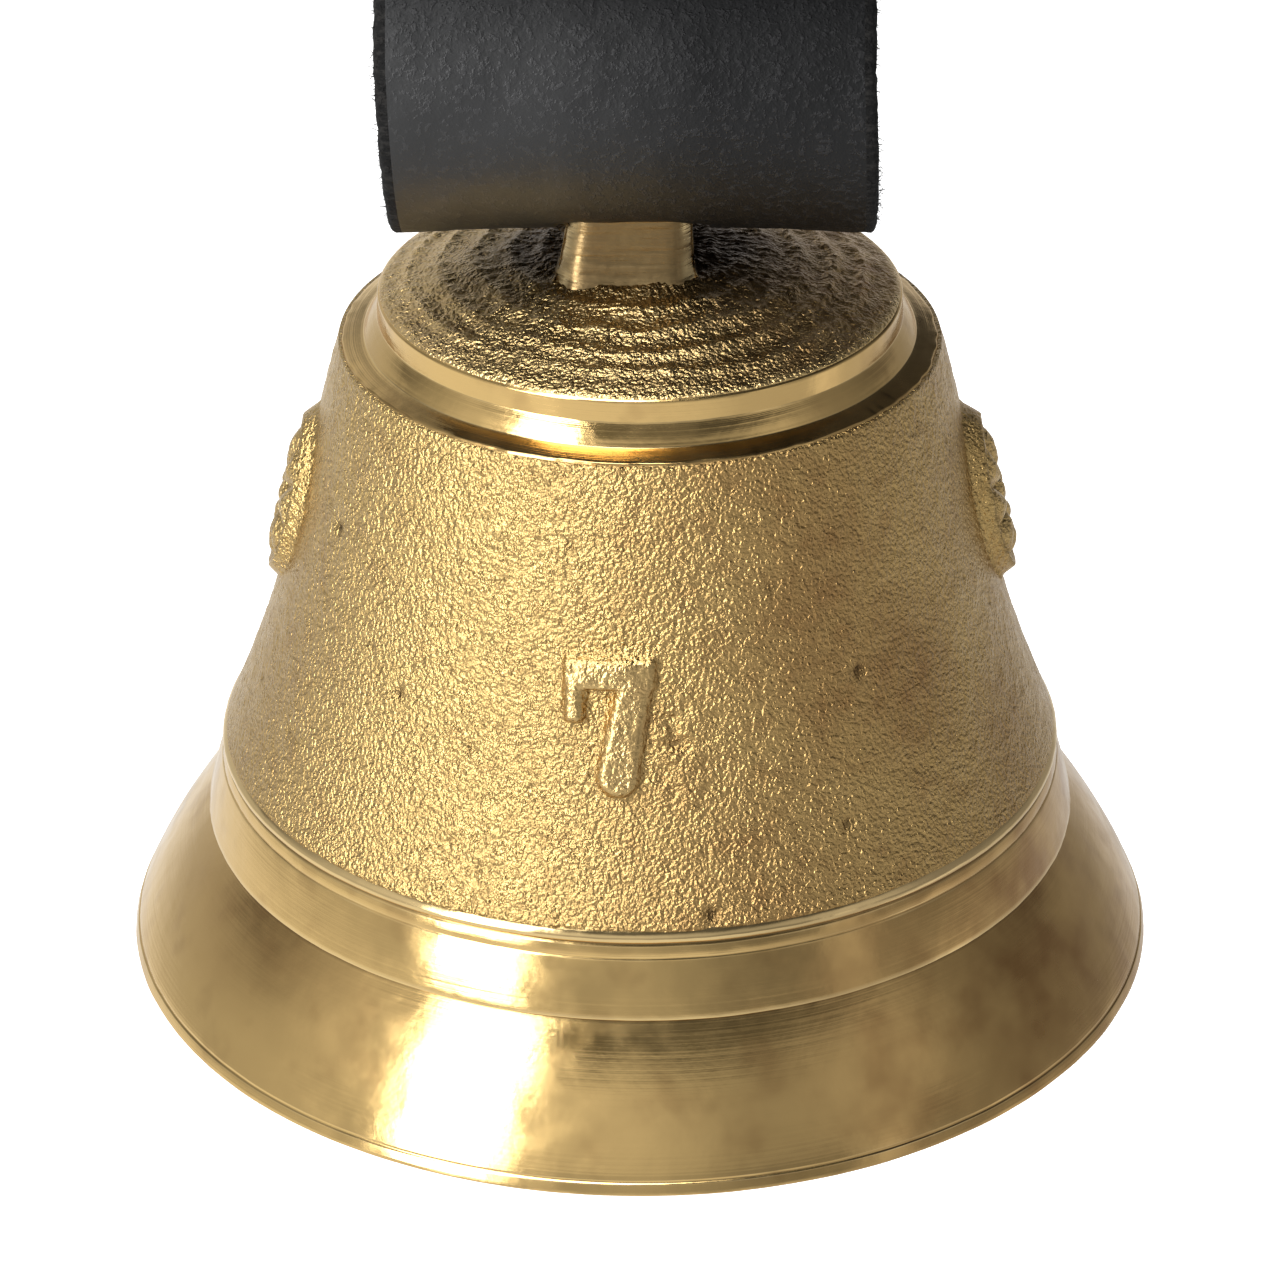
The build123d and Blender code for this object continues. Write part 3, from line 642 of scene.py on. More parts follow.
def rosette(u, v):
    """Height from 0 to 1 of an oval medallion: a plate with a rim, eight petals round a boss."""
    ring = np.hypot(u / 4.5, v / 7.1)
    plate = crest((1 - ring) * 4.5, 0.8) * 0.45
    rim = np.exp(-((ring - 0.86) / 0.07) ** 2) * 0.25
    turn = np.arctan2(v / 7.1, u / 4.5)
    petal = np.clip(np.cos(4 * turn) ** 2, 0, 1) ** 0.7 * np.clip(1 - ((ring - 0.47) / 0.27) ** 2, 0, 1)
    boss = np.clip(1 - (ring / 0.19) ** 2, 0, 1)
    return plate + rim + 0.5 * np.maximum(np.sqrt(petal), np.sqrt(boss)) * (plate > 0)


PITS = [(36.6, 33.4, 0.45, 0.30), (-40.3, 31.1, 0.4, 0.28), (-26.4, 29.0, 0.35, 0.22),
        (30.4, 23.05, 0.4, 0.25), (9.5, 18.6, 0.5, 0.45), (-62.0, 40.0, 0.45, 0.25),
        (-12.0, 44.5, 0.3, 0.2), (22.0, 41.0, 0.35, 0.2)]


STAINS = [(48, 31.0, 5.0, 0.5), (36, 41.0, 7.0, 0.16), (24, 36.0, 5.0, 0.12), (70, 24.0, 6.0, 0.2),
          (-70, 28.0, 8.0, 0.2), (150, 34.0, 9.0, 0.4), (-140, 27.0, 8.0, 0.35), (180, 44.0, 6.0, 0.3)]


def skirt():
    """The rough tapered body: rings by height and azimuth, pushed out by marks, lumps and pits."""
    azimuth = around(SKIRT_COLUMNS)
    z = np.linspace(*SKIRT_Z, 122)[:, None]
    u, v = (azimuth / TURN) % 1 + 0 * z, ramp(z, SKIRT_Z[0], SKIRT_Z[1] - SKIRT_Z[0]) + 0 * azimuth
    radius = skirt_radius(z) + 0 * azimuth
    x = radius * np.sin(azimuth)
    front = np.cos(azimuth) > 0
    lumps = 0.035 * bumps(u, v, 40, 8, 11) + 0.022 * bumps(u, v, 120, 24, 12) \
        + 0.045 * bumps(u, v, 320, 62, 13)
    fade = ramp(z, 17.9, 0.8) * ramp(z, 50.2, -0.6)
    raised = numeral(x, z + 0 * azimuth) * front
    ovals = 0
    for side in (1, -1):
        away = azimuth - side * math.pi / 2
        height = (1.1 + 0.12 * side) * (np.cos(away) > 0)
        ovals = ovals + rosette(radius * np.sin(away), z - ROSETTE_Z) * height
    spill = np.exp(-((x - 2.6) / 1.7) ** 2 - ((z - 30.6) / 3.4) ** 2) * front
    spill = spill * (0.06 + 0.3 * bumps(u, v, 210, 38, 14))
    painted_shade = np.zeros_like(radius)
    rng = np.random.default_rng(5)
    ranges = ((-180, 180), (18.5, 49), (0.12, 0.24), (0.06, 0.14))
    scattered = np.stack([rng.uniform(low, high, 110) for low, high in ranges], -1)
    for place, height, wide, deep in [*PITS, *scattered]:
        # Each pit is sunk and darkened: the dark is painted shade.
        hole = np.exp(-(spot_gap(radius, azimuth, z, place, height) / wide) ** 2)
        painted_shade = np.maximum(painted_shade, hole * min(1, deep * 3.2))
        radius = radius - deep * hole
    radius = radius + fade * (lumps + spill) + 0.8 * raised + 1.75 * ovals
    # Browner by azimuth, most just right of the front and least on the left towards the key light: tarnish
    # and painted shade; browner again towards the bottom.
    brown = np.interp(np.degrees(azimuth), [-180, -60, -34, -12, 2, 16, 50, 145, 172, 180],
                      [0.1, 0.0, 0.05, 0.20, 0.38, 0.62, 0.30, 0.20, 0.1, 0.1])
    brown = brown * (0.85 + 0.4 * bumps(u, v, 22, 5, 16)) + ramp(28, z, 10) * 0.12
    for place, height, wide, amount in STAINS:
        gap = spot_gap(radius, azimuth, z, place, height, 0.8) / wide + 0.09 * bumps(u, v, 60, 12, 17)
        brown = brown + amount * np.clip(1.3 - gap, 0, 1)
    foot = turned(RIB_TOP[0] - 1.2, RIB_TOP[1] - 0.6, azimuth)
    top = turned(SKIRT_TOP[0] - 1.6, SKIRT_TOP[1] - 0.3, azimuth)
    t = np.linspace(0, 1, INNER_ROWS)[:, None] + 0 * azimuth
    inner = leg((CEILING_R, 49.4), (RIB_TOP[0] - SKIRT_WALL, RIB_TOP[1] - 0.3), -1.15, INNER_ROWS)
    uneven = 0.08 * bumps((azimuth / TURN) % 1 + 0 * t, t, 60, 13, 15)
    within = turned(inner[:, :1] + uneven, inner[:, 1:], azimuth)
    rings = np.concatenate([foot, turned(radius, z, azimuth), top, within])
    wear_and_highlight = np.clip(np.maximum(raised * 0.75, ovals * 0.7) - 0.45, 0, 1) * 0.6
    smooth = np.clip(raised * 1.5 - 0.4, 0, 0.8) * (0.75 + 0.3 * bumps(u, v, 150, 26, 18))
    values = {"wear_and_highlight": wear_and_highlight, "smooth": smooth, "painted_shade": painted_shade * 0.9, "brown": brown}
    plain = ((1, 1 + INNER_ROWS), (0, 0))
    return skin(rings, True), {key: np.pad(value, plain) for key, value in values.items()}


def edge_wear(line, sharp):
    """Wear from 0 to 1 along a closed outline, by how hard it turns outwards there."""
    ahead = np.diff(np.vstack([line, line[:1]]), axis=0)
    way = np.arctan2(ahead[:, 1], ahead[:, 0])
    turning = (way - np.roll(way, 1) + math.pi) % TURN - math.pi
    span = np.linalg.norm(ahead, axis=1) + np.linalg.norm(np.roll(ahead, 1, axis=0), axis=1)
    return np.clip(turning / np.maximum(span, 0.02) * sharp, 0, 1)


def mouth():
    """The turned foot of the bell: lip, flare, stepped band and rib, all one outline carried round Z."""
    line = outline(
        (36.4, 0), (39.75, 0), (40, 0.18), (39.74, 1.0), (39.6, 1.06), (39.58, 1.2), (39.6, 1.25),
        (33.5, 10.95, 0.40), (33.38, 11.1), (33.72, 11.18), (32.52, 15.6, 0.04), (32.4, 15.7), (32.46, 15.8),
        (32.28, 16.6), (32.1, 16.78), (32.36, 16.95), (32.26, 17.58, 0.1), (31.7, 18.05, 0.06), (30.6, 17.8),
        (28.4, 17.8), (29.9, 11.45), (36.4, 0, -0.35))
    line = thinned(softened(line, 0.055), 0.75, 0.16)
    azimuth, radius, z, u = spun(line, 560)
    v = z / 18
    outside = ramp(radius, 31.5, 0.8) * (z > 0.05)
    radius = radius + outside * (0.02 * bumps(u, v, 70, 8, 21) + 0.012 * bumps(u, v, 260, 40, 22))
    rings = turned(radius, z, azimuth)
    wear_and_highlight = edge_wear(line, 0.25)[:, None] * (0.55 + 0.45 * bumps(u, v, 90, 30, 23))
    # Painted highlights: pale lines along the rib's top and along the band's lower edge.
    wear_and_highlight = np.maximum(wear_and_highlight, ramp(z, 16.9, 0.25) * (radius > 31.6) * 0.7)
    wear_and_highlight = np.maximum(wear_and_highlight, peak(z, 11.3, 0.22) * (radius > 33.4) * 0.8)
    # Painted shade: thin dark lines in the groove under the rib and under the band's lower edge.
    painted_shade = np.exp(-((z - 16.78) / 0.08) ** 2) * (radius < 32.28) * (radius > 31.8) * 0.7
    painted_shade = np.maximum(painted_shade, np.exp(-((z - 11.05) / 0.14) ** 2) * (radius < 33.6) * (radius > 33.1) * 0.6)
    degrees = np.degrees(azimuth)
    # Browner over the right half, the side away from the key light: tarnish and painted shade.
    brown = ramp(degrees, 5, 25) * ramp(175, degrees, 25) * 0.5 * (1 + 0.3 * bumps(u, v, 26, 4, 24))
    brown = brown + peak(degrees, 62, 26) * 0.22 * (1 + 0.4 * bumps(u, v, 40, 8, 25))
    # Painted shade: the flare's left side goes brown towards the band above it.
    brown = brown + peak(degrees, -58, 34) * ramp(z, 3.5, 6) * (z < 11.1) * 0.6 \
        * (1 + 0.3 * bumps(u, v, 30, 6, 26))
    return skin(rings, True), {"wear_and_highlight": wear_and_highlight, "painted_shade": painted_shade, "brown": brown + 0 * z}


def collar():
    """The turned ring under the crown: a plain collar, a cove and a bead in one flowing outline."""
    line = outline(
        (17.5, 53.9), (19.25, 54.2), (19.5, 54.02), (19.56, 52.42), (19.62, 52.34), (20.58, 50.94, -0.03),
        (22.12, 50.52), (22.28, 50.25), (22.28, 50.2), (21.0, 49.9), (19.0, 50.4), (17.5, 53.9))
    line = thinned(softened(line, 0.05), 0.35, 0.12)
    azimuth, radius, z, u = spun(line, 560)
    v = (z - 50) / 5
    foot = ramp(radius, 21.6, 0.4)
    radius = radius + foot * 0.09 * bumps(u, v, 130, 3, 35) + 0.006 * bumps(u, v, 200, 20, 37)
    shelf = ramp(radius, 20.6, 0.3) * ramp(radius, 22.1, -0.2) * (z > 50.3)
    z = z + shelf * 0.018 * np.sin(TURN * radius / 0.42)
    rings = turned(radius, z, azimuth)
    wear_and_highlight = edge_wear(line, 0.22)[:, None] * (0.6 + 0.4 * bumps(u, v, 80, 30, 36))
    # Painted shade: small dark spots at the ledge's outer edge.
    painted_shade = np.zeros_like(radius)
    for place, height in ((50.0, 50.6), (52.5, 50.55), (57.0, 50.7), (22.0, 50.5)):
        gap = spot_gap(radius, azimuth, z, place, height)
        painted_shade = np.maximum(painted_shade, 0.7 * np.exp(-(gap / 0.16) ** 2))
    degrees = np.degrees(azimuth)
    # Browner over the right half: tarnish and painted shade. Browner on the ledge at the front: a painted
    # reflection of the skirt below.
    brown = ramp(degrees, 15, 30) * ramp(175, degrees, 25) * 0.22 \
        + 0.35 * ramp(radius, 20.7, 0.3) * np.clip(np.cos(azimuth), 0, 1)
    return skin(rings, True), {"wear_and_highlight": wear_and_highlight, "painted_shade": painted_shade, "brown": brown}


def crown():
    """The low domed crown, rippled in rings, over the ceiling: one outline from pole to pole."""
    dome = np.linspace(0.4, 19.1, 150)
    dome = np.stack([dome, CROWN_Z - 3.7 * (dome / 19.3) ** 1.9], -1)
    line = np.vstack([dome, outline(
        dome[-1], (19.35, 54.2), (19.2, 53.6), (19.4, 50.6), (CEILING_R, 49.4), (17.3, 52.2, 0.25),
        (14.5, CEILING_Z, 0.25), (0.4, CEILING_Z))])
    line = thinned(softened(line, 0.08), 0.28, 0.2)
    azimuth, radius, z, u = spun(line, 480)
    v = radius / 23
    top = (z > 53.7) * ramp(radius, 19.2, -0.5) * np.clip(radius / 4, 0, 1)
    wander = radius + 0.55 * bumps(u, v, 11, 5, 31) + 0.25 * bumps(u, v, 30, 9, 38)
    ripple = 1 - 2 * np.abs(np.sin(math.pi * (wander - 0.5) / 2.35)) ** 0.8
    strength = 0.14 * (0.75 + 0.6 * bumps(u, v, 12, 6, 32)) * np.clip((18.6 - radius) / 2, 0.2, 1)
    shift = top * (strength * ripple + 0.06 * bumps(u, v, 36, 12, 33) + 0.07 * bumps(u, v, 200, 48, 34))
    rings = turned(radius, z + shift, azimuth)
    # Painted shade in the troughs of the ripples.
    painted_shade = top * np.clip(-ripple - 0.55, 0, 1) * 0.25
    degrees = np.degrees(azimuth)
    # Browner over the right half: tarnish and painted shade.
    brown = top * (0.04 + 0.6 * ramp(degrees, -5, 50) * ramp(175, degrees, 25))
    # Painted shadow of the strap: an oval on the crown about the loop's legs, going dark where the strap
    # hangs close above.
    shade = np.hypot((rings[..., 0] + 0.6) / 13, rings[..., 1] / 8.5)
    painted_shade = np.maximum(painted_shade, top * np.clip(1.25 - shade, 0, 1) * 1.5
                        * (np.abs(rings[..., 1]) < 11)).clip(0, 0.93)
    return skin(rings), {"painted_shade": painted_shade, "brown": brown}


LOOP_FOOT_Z = 56.3
LOOP_FOOT_SPREAD = 0.45
LOOP_LEG_Z = 61.2


def loop_course():
    """The crown loop's middle line in the YZ plane, from the front foot over the pin to the back foot."""
    mid = LOOP_IN + LOOP_WALL / 2
    over = np.linspace(math.pi, 0, 90)
    front = [leg((-mid - LOOP_FOOT_SPREAD, LOOP_FOOT_Z), (-mid, LOOP_LEG_Z), 0.0, 40),
             leg((-mid, LOOP_LEG_Z), (-mid, PIN_Z), 0.0, 30)]
    back = [part[::-1] * (-1, 1) for part in front[::-1]]
    return np.vstack([*front, np.stack([mid * np.cos(over), PIN_Z + mid * np.sin(over)], -1), *back])


def crown_loop():
    """The cast loop: a bevelled block section carried along its course, wider and lumpy at its feet."""
    line = thinned(softened(loop_course(), 0.4), 0.28, 0.1)
    ahead = np.gradient(line, axis=0)
    ahead /= np.linalg.norm(ahead, axis=1)[:, None]
    out = np.stack([-ahead[:, 1], ahead[:, 0]], -1)
    height = line[:, 1]
    foot = ramp(height, 59.6, -2.6) ** 2
    half_w = np.interp(height, [56, 61, 64], [5.15, 4.62, 4.5]) + 0.35 * foot
    half_t = 1.66
    turn = np.linspace(0, TURN, 72, endpoint=False)
    cos, sin = np.cos(turn), np.sin(turn)
    reach = (np.abs(cos) ** 5.5 + np.abs(sin) ** 5.5) ** (-1 / 5.5)
    across = (reach * cos)[None, :] * half_w[:, None]
    through = (reach * sin)[None, :]
    bevel = np.clip(np.abs(reach * cos) - 0.76, 0, 1)[None, :] * 3.6 * (through > 0.25)
    through = through * half_t - bevel * half_t * 0.55 + 0 * height[:, None]
    through = through + np.where(through > 0, 0.4, 0.0) * foot[:, None]
    u = np.arange(72)[None, :] / 72 + 0 * across
    v = np.linspace(0, 1, len(line))[:, None] + 0 * across
    facets = 0.05 * bumps(u, v, 16, 12, 41) + 0.02 * bumps(u, v, 36, 60, 42)
    lumps = foot[:, None] * (0.28 * bumps(u, v, 18, 60, 43) + 0.12 * bumps(u, v, 30, 90, 44))
    swell = 1 + (facets - 0.04 + lumps) / 4.5
    through = through + np.where(through > 0, facets * 0.5 + lumps * 0.6, 0)
    crooked = np.interp(height, [56, 62, 66], [-1.15, -0.72, -0.4])[:, None]
    rings = np.stack([across * swell + crooked, line[:, :1] + out[:, :1] * through,
                      line[:, 1:] + out[:, 1:] * through], -1)
    corner = ((np.abs(reach * cos * np.sign(sin)) > 0.80) & (np.abs(reach * sin) > 0.55))[None, :]
    wear_and_highlight = corner * (0.55 + 0.45 * bumps(u, v, 30, 40, 45)) * (through > 0)
    return skin(rings), {"wear_and_highlight": wear_and_highlight}


for name, (shell, values), finish in (
        ("bell_mouth", mouth(), BRASS_TURNED), ("bell_skirt", skirt(), BRASS_SKIRT),
        ("bell_collar", collar(), BRASS_COLLAR), ("bell_crown", crown(), BRASS_CROWN),
        ("bell_crown_loop", crown_loop(), BRASS_FILED_SHADED)):
    piece(name, shell, [finish], "bell", ["bell_casting"], values)

# ---------------------------------------------------------------- the strap


def strap_course():
    """Distance, Y, Z and heading at close steps along the strap's middle line, and where each move starts."""
    tab_end = HEEL_Z - 2 * HEEL_TURN_R * math.sin(TAB_ANGLE) - TAB_L
    moves = [
        TAB_L, (HEEL_TURN_R, -TAB_ANGLE), (HEEL_TURN_R, TAB_ANGLE), (FOLD_MID, math.pi), FRONT_L,
        (HANG_TURN_R, HANG_ANGLE), (HANG_TURN_R, -HANG_ANGLE), WAIST_L, (PINCH_R, -PINCH_ANGLE),
        (BEND_MID, math.pi + 2 * PINCH_ANGLE), (PINCH_R, -PINCH_ANGLE), WAIST_L, (HANG_TURN_R, -HANG_ANGLE),
        (HANG_TURN_R, HANG_ANGLE), TOP_Z - HANG_Z, (HANG_HALF, math.pi), TOP_Z - STEP_TOP_Z,
        (STEP_R, -STEP_ANGLE), (STEP_R, STEP_ANGLE), TAIL_L]
    s, way, starts = 0.0, math.pi / 2, []
    along, heading = [], []
    for move in moves:
        size, turn = (move[0] * abs(move[1]), move[1]) if isinstance(move, tuple) else (move, 0.0)
        t = np.linspace(0, 1, int(size / 0.1) + 2)
        starts.append(s)
        along.append(s + t * size)
        heading.append(way + t * turn)
        s, way = s + size, way + turn
    along, heading = np.concatenate(along), np.concatenate(heading)
    step = np.diff(along)
    middle = (heading[1:] + heading[:-1]) / 2
    y = TAB_Y + np.concatenate([[0], np.cumsum(step * np.cos(middle))])
    z = tab_end + np.concatenate([[0], np.cumsum(step * np.sin(middle))])
    return along, y, z, heading, starts + [s]


COURSE_S, COURSE_Y, COURSE_Z, COURSE_WAY, COURSE_STARTS = strap_course()
STRAP_END = COURSE_STARTS[-1]
BEND_MIDDLE = (COURSE_STARTS[9] + COURSE_STARTS[10]) / 2
FOLD_MIDDLE = (COURSE_STARTS[3] + COURSE_STARTS[4]) / 2
HOLE_TOP_Z = 170.06
HOLE_PITCH = 16.0
SLOT_HALF = 8.38
BEND_REACH = 22
EDGE_FLARE = 0.6


def strap_openings():
    """Middle, half length, half width and corner of each opening, by distance along the strap."""
    tail_top = COURSE_STARTS[-2]
    tail_hole = tail_top + HEEL_Z + STEP_Z - HOLE_TOP_Z
    front_hole = COURSE_STARTS[4] + HEEL_Z - HOLE_TOP_Z
    return [(BEND_MIDDLE, SLOT_HALF, 5.6, 1.5), (FOLD_MIDDLE, math.pi * FOLD_MID / 2 + 6.1, 2.9, 0.9)] \
        + [(tail_hole + i * HOLE_PITCH, 6.0, 2.5, 2.5) for i in range(3)] + [(front_hole, 6.0, 2.5, 2.5)]


def strap_rows():
    """Distances along the strap, closer together in the bend and near openings."""
    s = np.linspace(0, STRAP_END, 9000)
    share = np.full_like(s, 1 / 1.25)
    share[(s > COURSE_STARTS[9] - 3) & (s < COURSE_STARTS[10] + 3)] = 1 / 0.42
    for middle, half, _, _ in strap_openings():
        share[np.abs(s - middle) < half + 1] = 1 / 0.5
    share[s > STRAP_END - 12] = 1 / 0.45
    cost = np.concatenate([[0], np.cumsum((share[1:] + share[:-1]) / 2 * np.diff(s))])
    return np.interp(np.linspace(0, cost[-1], int(cost[-1])), cost, s)


EDGE = 0.75


def skewed(z):
    """Sideways offset of the worn strap, whose lower end hangs a little towards -X."""
    return -(0.5 + 0.55 * ramp(z, 62, 14)) * ramp(104, z, 18)


def strap():
    """The strap: its section carried along the course, with its openings cut through the grid and walled."""
    rows = strap_rows()
    wing = np.linspace(5.6, STRAP_W / 2 - EDGE, 18)
    side = np.linspace(2.9, 5.6, 6)[:-1]
    cols = np.concatenate([-wing[::-1], -side[::-1], np.linspace(-2.5, 2.5, 11), side, wing])
    s, x = np.meshgrid(rows, cols, indexing="ij")
    middle_s = (s[1:, 1:] + s[:-1, :-1]) / 2
    middle_x = (x[1:, 1:] + x[:-1, :-1]) / 2
    cut = np.zeros(middle_s.shape, bool)
    for at, half, wide, corner in strap_openings():
        cut |= rounded_box(middle_s - at, middle_x, half, wide, corner) < 0
    ring = np.pad(cut, 1)
    touching = ring[:-1, :-1].astype(int) + ring[1:, :-1] + ring[:-1, 1:] + ring[1:, 1:]
    rim = (touching > 0) & (touching < 4)
    for _ in range(2):
        for at, half, wide, corner in strap_openings():
            size = (half, wide, corner)
            gap = rounded_box(s - at, x, *size)
            slope_s = (rounded_box(s - at + 0.01, x, *size) - rounded_box(s - at - 0.01, x, *size)) / 0.02
            slope_x = (rounded_box(s - at, x + 0.01, *size) - rounded_box(s - at, x - 0.01, *size)) / 0.02
            near = rim & (np.abs(gap) < 0.8)
            s = np.where(near, s - gap * slope_s, s)
            x = np.where(near, x - gap * slope_x, x)
    count, wide = len(rows), len(cols)
    from_end = STRAP_END - rows
    half_w = np.interp(from_end, [0, 0.6, 2.25, 5, TAIL_POINT], [2.2, 4.6, 9.0, 14.4, STRAP_W / 2])
    half_w = np.where(from_end > TAIL_POINT, STRAP_W / 2, half_w)
    squeeze = ((half_w - EDGE) / (STRAP_W / 2 - EDGE))[:, None]
    u, v = s / STRAP_END, x / STRAP_W + 0.5
    grain = 0.05 * bumps(u, v, 190, 16, 51) + 0.03 * bumps(u, v, 520, 44, 52) - 0.08
    bulge = 0.04 * ramp(np.abs(x), 14.5, 2.2) ** 2
    flared = peak(s, BEND_MIDDLE, BEND_REACH) * EDGE_FLARE * (np.abs(x) / (STRAP_W / 2)) ** 3
    outer_t = HALF_T + np.minimum(grain, 0) - bulge + flared + 0.05
    inner_t = -(HALF_T + np.minimum(np.roll(grain, 37, 0), 0) - bulge)
    turn = np.linspace(math.pi / 2, -math.pi / 2, 11)[1:-1]
    edge_x = np.cos(turn) ** 0.65 * EDGE
    edge_t = np.sign(np.sin(turn)) * np.abs(np.sin(turn)) ** 0.65 * (HALF_T - 0.06)
    fray_u = (rows / STRAP_END)[:, None] + 0 * turn[None, :]
    fray_v = np.linspace(0, 1, len(turn))[None, :] + 0 * fray_u
    sides = {}
    for hand, seed in ((1, 61), (-1, 71)):
        fray = 0.11 * bumps(fray_u, fray_v, 1100, 4, seed) + 0.04 * bumps(fray_u, fray_v, 420, 2, seed + 1)
        level = (half_w - EDGE + 0.15)[:, None] + edge_x[None, :]
        level = level + np.minimum(fray, 0.05) * (half_w > 3)[:, None]
        lift = peak(rows, BEND_MIDDLE, BEND_REACH)[:, None] * EDGE_FLARE * (edge_t > 0)[None, :]
        sides[hand] = (hand * level, edge_t[None, :] + 0.4 * fray * np.cos(turn)[None, :] + lift)
    right, left = sides[1], (sides[-1][0][:, ::-1], sides[-1][1][:, ::-1])
    row_s = rows[:, None] + 0 * turn[None, :]
    all_x = np.concatenate([x * squeeze, right[0], (x * squeeze)[:, ::-1], left[0]], 1)
    all_t = np.concatenate([outer_t, right[1], inner_t[:, ::-1], left[1]], 1)
    all_s = np.concatenate([s, row_s, s[:, ::-1], row_s], 1)
    past = np.abs(all_s - BEND_MIDDLE) - SLOT_HALF
    upright = (0.14 * all_t ** 2 - 1.003 * all_t) * np.exp(-(past / 3.5) ** 2) * ramp(np.abs(all_x), 9.6, -4)
    all_s = all_s + np.sign(all_s - BEND_MIDDLE) * upright
    y = np.interp(all_s, COURSE_S, COURSE_Y)
    z = np.interp(all_s, COURSE_S, COURSE_Z)
    way = np.interp(all_s, COURSE_S, COURSE_WAY)
    z = z - np.cos(way) * all_t
    rings = np.stack([all_x + skewed(z), y + np.sin(way) * all_t, z], -1)
    points, (quads, fans) = skin(rings)
    round_cols = all_x.shape[1]
    kept = np.ones((count - 1, round_cols), bool)
    kept[:, :wide - 1] = ~cut
    kept[:, wide + len(turn):2 * wide + len(turn) - 1] = ~cut[:, ::-1]
    cut_leather = np.ones((count - 1, round_cols), int)
    cut_leather[:, :wide - 1] = 0
    cut_leather[:, wide + len(turn):2 * wide + len(turn) - 1] = 0
    quads = quads[kept.ravel()]
    part = cut_leather.ravel()[kept.ravel()]

    def wall(first, second):
        """Quads through the strap along the cell sides that run from first to second."""
        outer = [i * round_cols + j for i, j in (first, second)]
        inner = [i * round_cols + 2 * wide + len(turn) - 1 - j for i, j in (second, first)]
        return np.stack(outer + inner, -1)

    i, j = np.nonzero(cut[1:, :] != cut[:-1, :])
    ahead = cut[1:, :][i, j]
    across_walls = wall((i + 1, np.where(ahead, j, j + 1)), (i + 1, np.where(ahead, j + 1, j)))
    i, j = np.nonzero(cut[:, 1:] != cut[:, :-1])
    right_cut = cut[:, 1:][i, j]
    along_walls = wall((np.where(right_cut, i + 1, i), j + 1), (np.where(right_cut, i, i + 1), j + 1))
    walls = np.vstack([across_walls, along_walls])
    part = np.concatenate([part, np.ones(len(walls), int), np.ones(len(fans), int)])
    worn = np.exp(-((all_s - (BEND_MIDDLE - 11.5)) / 14) ** 4) * (0.7 + 0.3 * np.clip(-all_x / 6, -1, 1))
    return (points, [np.vstack([quads, walls]), fans]), part, {"polish": worn}


shell, part, values = strap()
piece("strap_leather", shell, [STRAP_LEATHER, CUT_EDGE], "hanger", ["strap"], values, part)


def fibres(count, seed):
    """Loose fibres on the strap's cut edges: thin curling prisms that taper to a point."""
    rng = np.random.default_rng(seed)
    knots = 5
    hand = np.where(rng.uniform(0, 1, count) < 0.62, 1.0, -1.0)
    s = BEND_MIDDLE + rng.normal(-14, 22, count)
    t = rng.uniform(-1.2, 1.45, count)
    length = rng.uniform(0.25, 0.8, count) * np.where(rng.uniform(0, 1, count) < 0.1, 1.8, 1.0)
    lean = rng.normal(0, 0.9, (count, 2))
    curl = rng.normal(0, 1.4, (count, 2))
    k = np.linspace(0, 1, knots)[None, :]
    reach = length[:, None] * k
    x = hand[:, None] * (STRAP_W / 2 + 0.05 + reach * 0.9)
    ss = s[:, None] + reach * (lean[:, :1] + curl[:, :1] * k)
    tt = t[:, None] + reach * (lean[:, 1:] + curl[:, 1:] * k) * 0.6
    way = np.interp(ss, COURSE_S, COURSE_WAY)
    z = np.interp(ss, COURSE_S, COURSE_Z) - np.cos(way) * tt
    centre = np.stack([x + skewed(z), np.interp(ss, COURSE_S, COURSE_Y) + np.sin(way) * tt, z], -1)
    thick = rng.uniform(0.03, 0.055, count)[:, None] * (1 - 0.8 * k)
    spoke = np.arange(3) * TURN / 3
    ring = np.stack([0 * spoke, np.cos(spoke), np.sin(spoke)], -1)
    rings = centre[:, :, None, :] + thick[:, :, None, None] * ring[None, None]
    return joined(*(skin(one) for one in rings))


piece("strap_fibres", fibres(620, 9), [CUT_EDGE], "hanger", ["strap"])


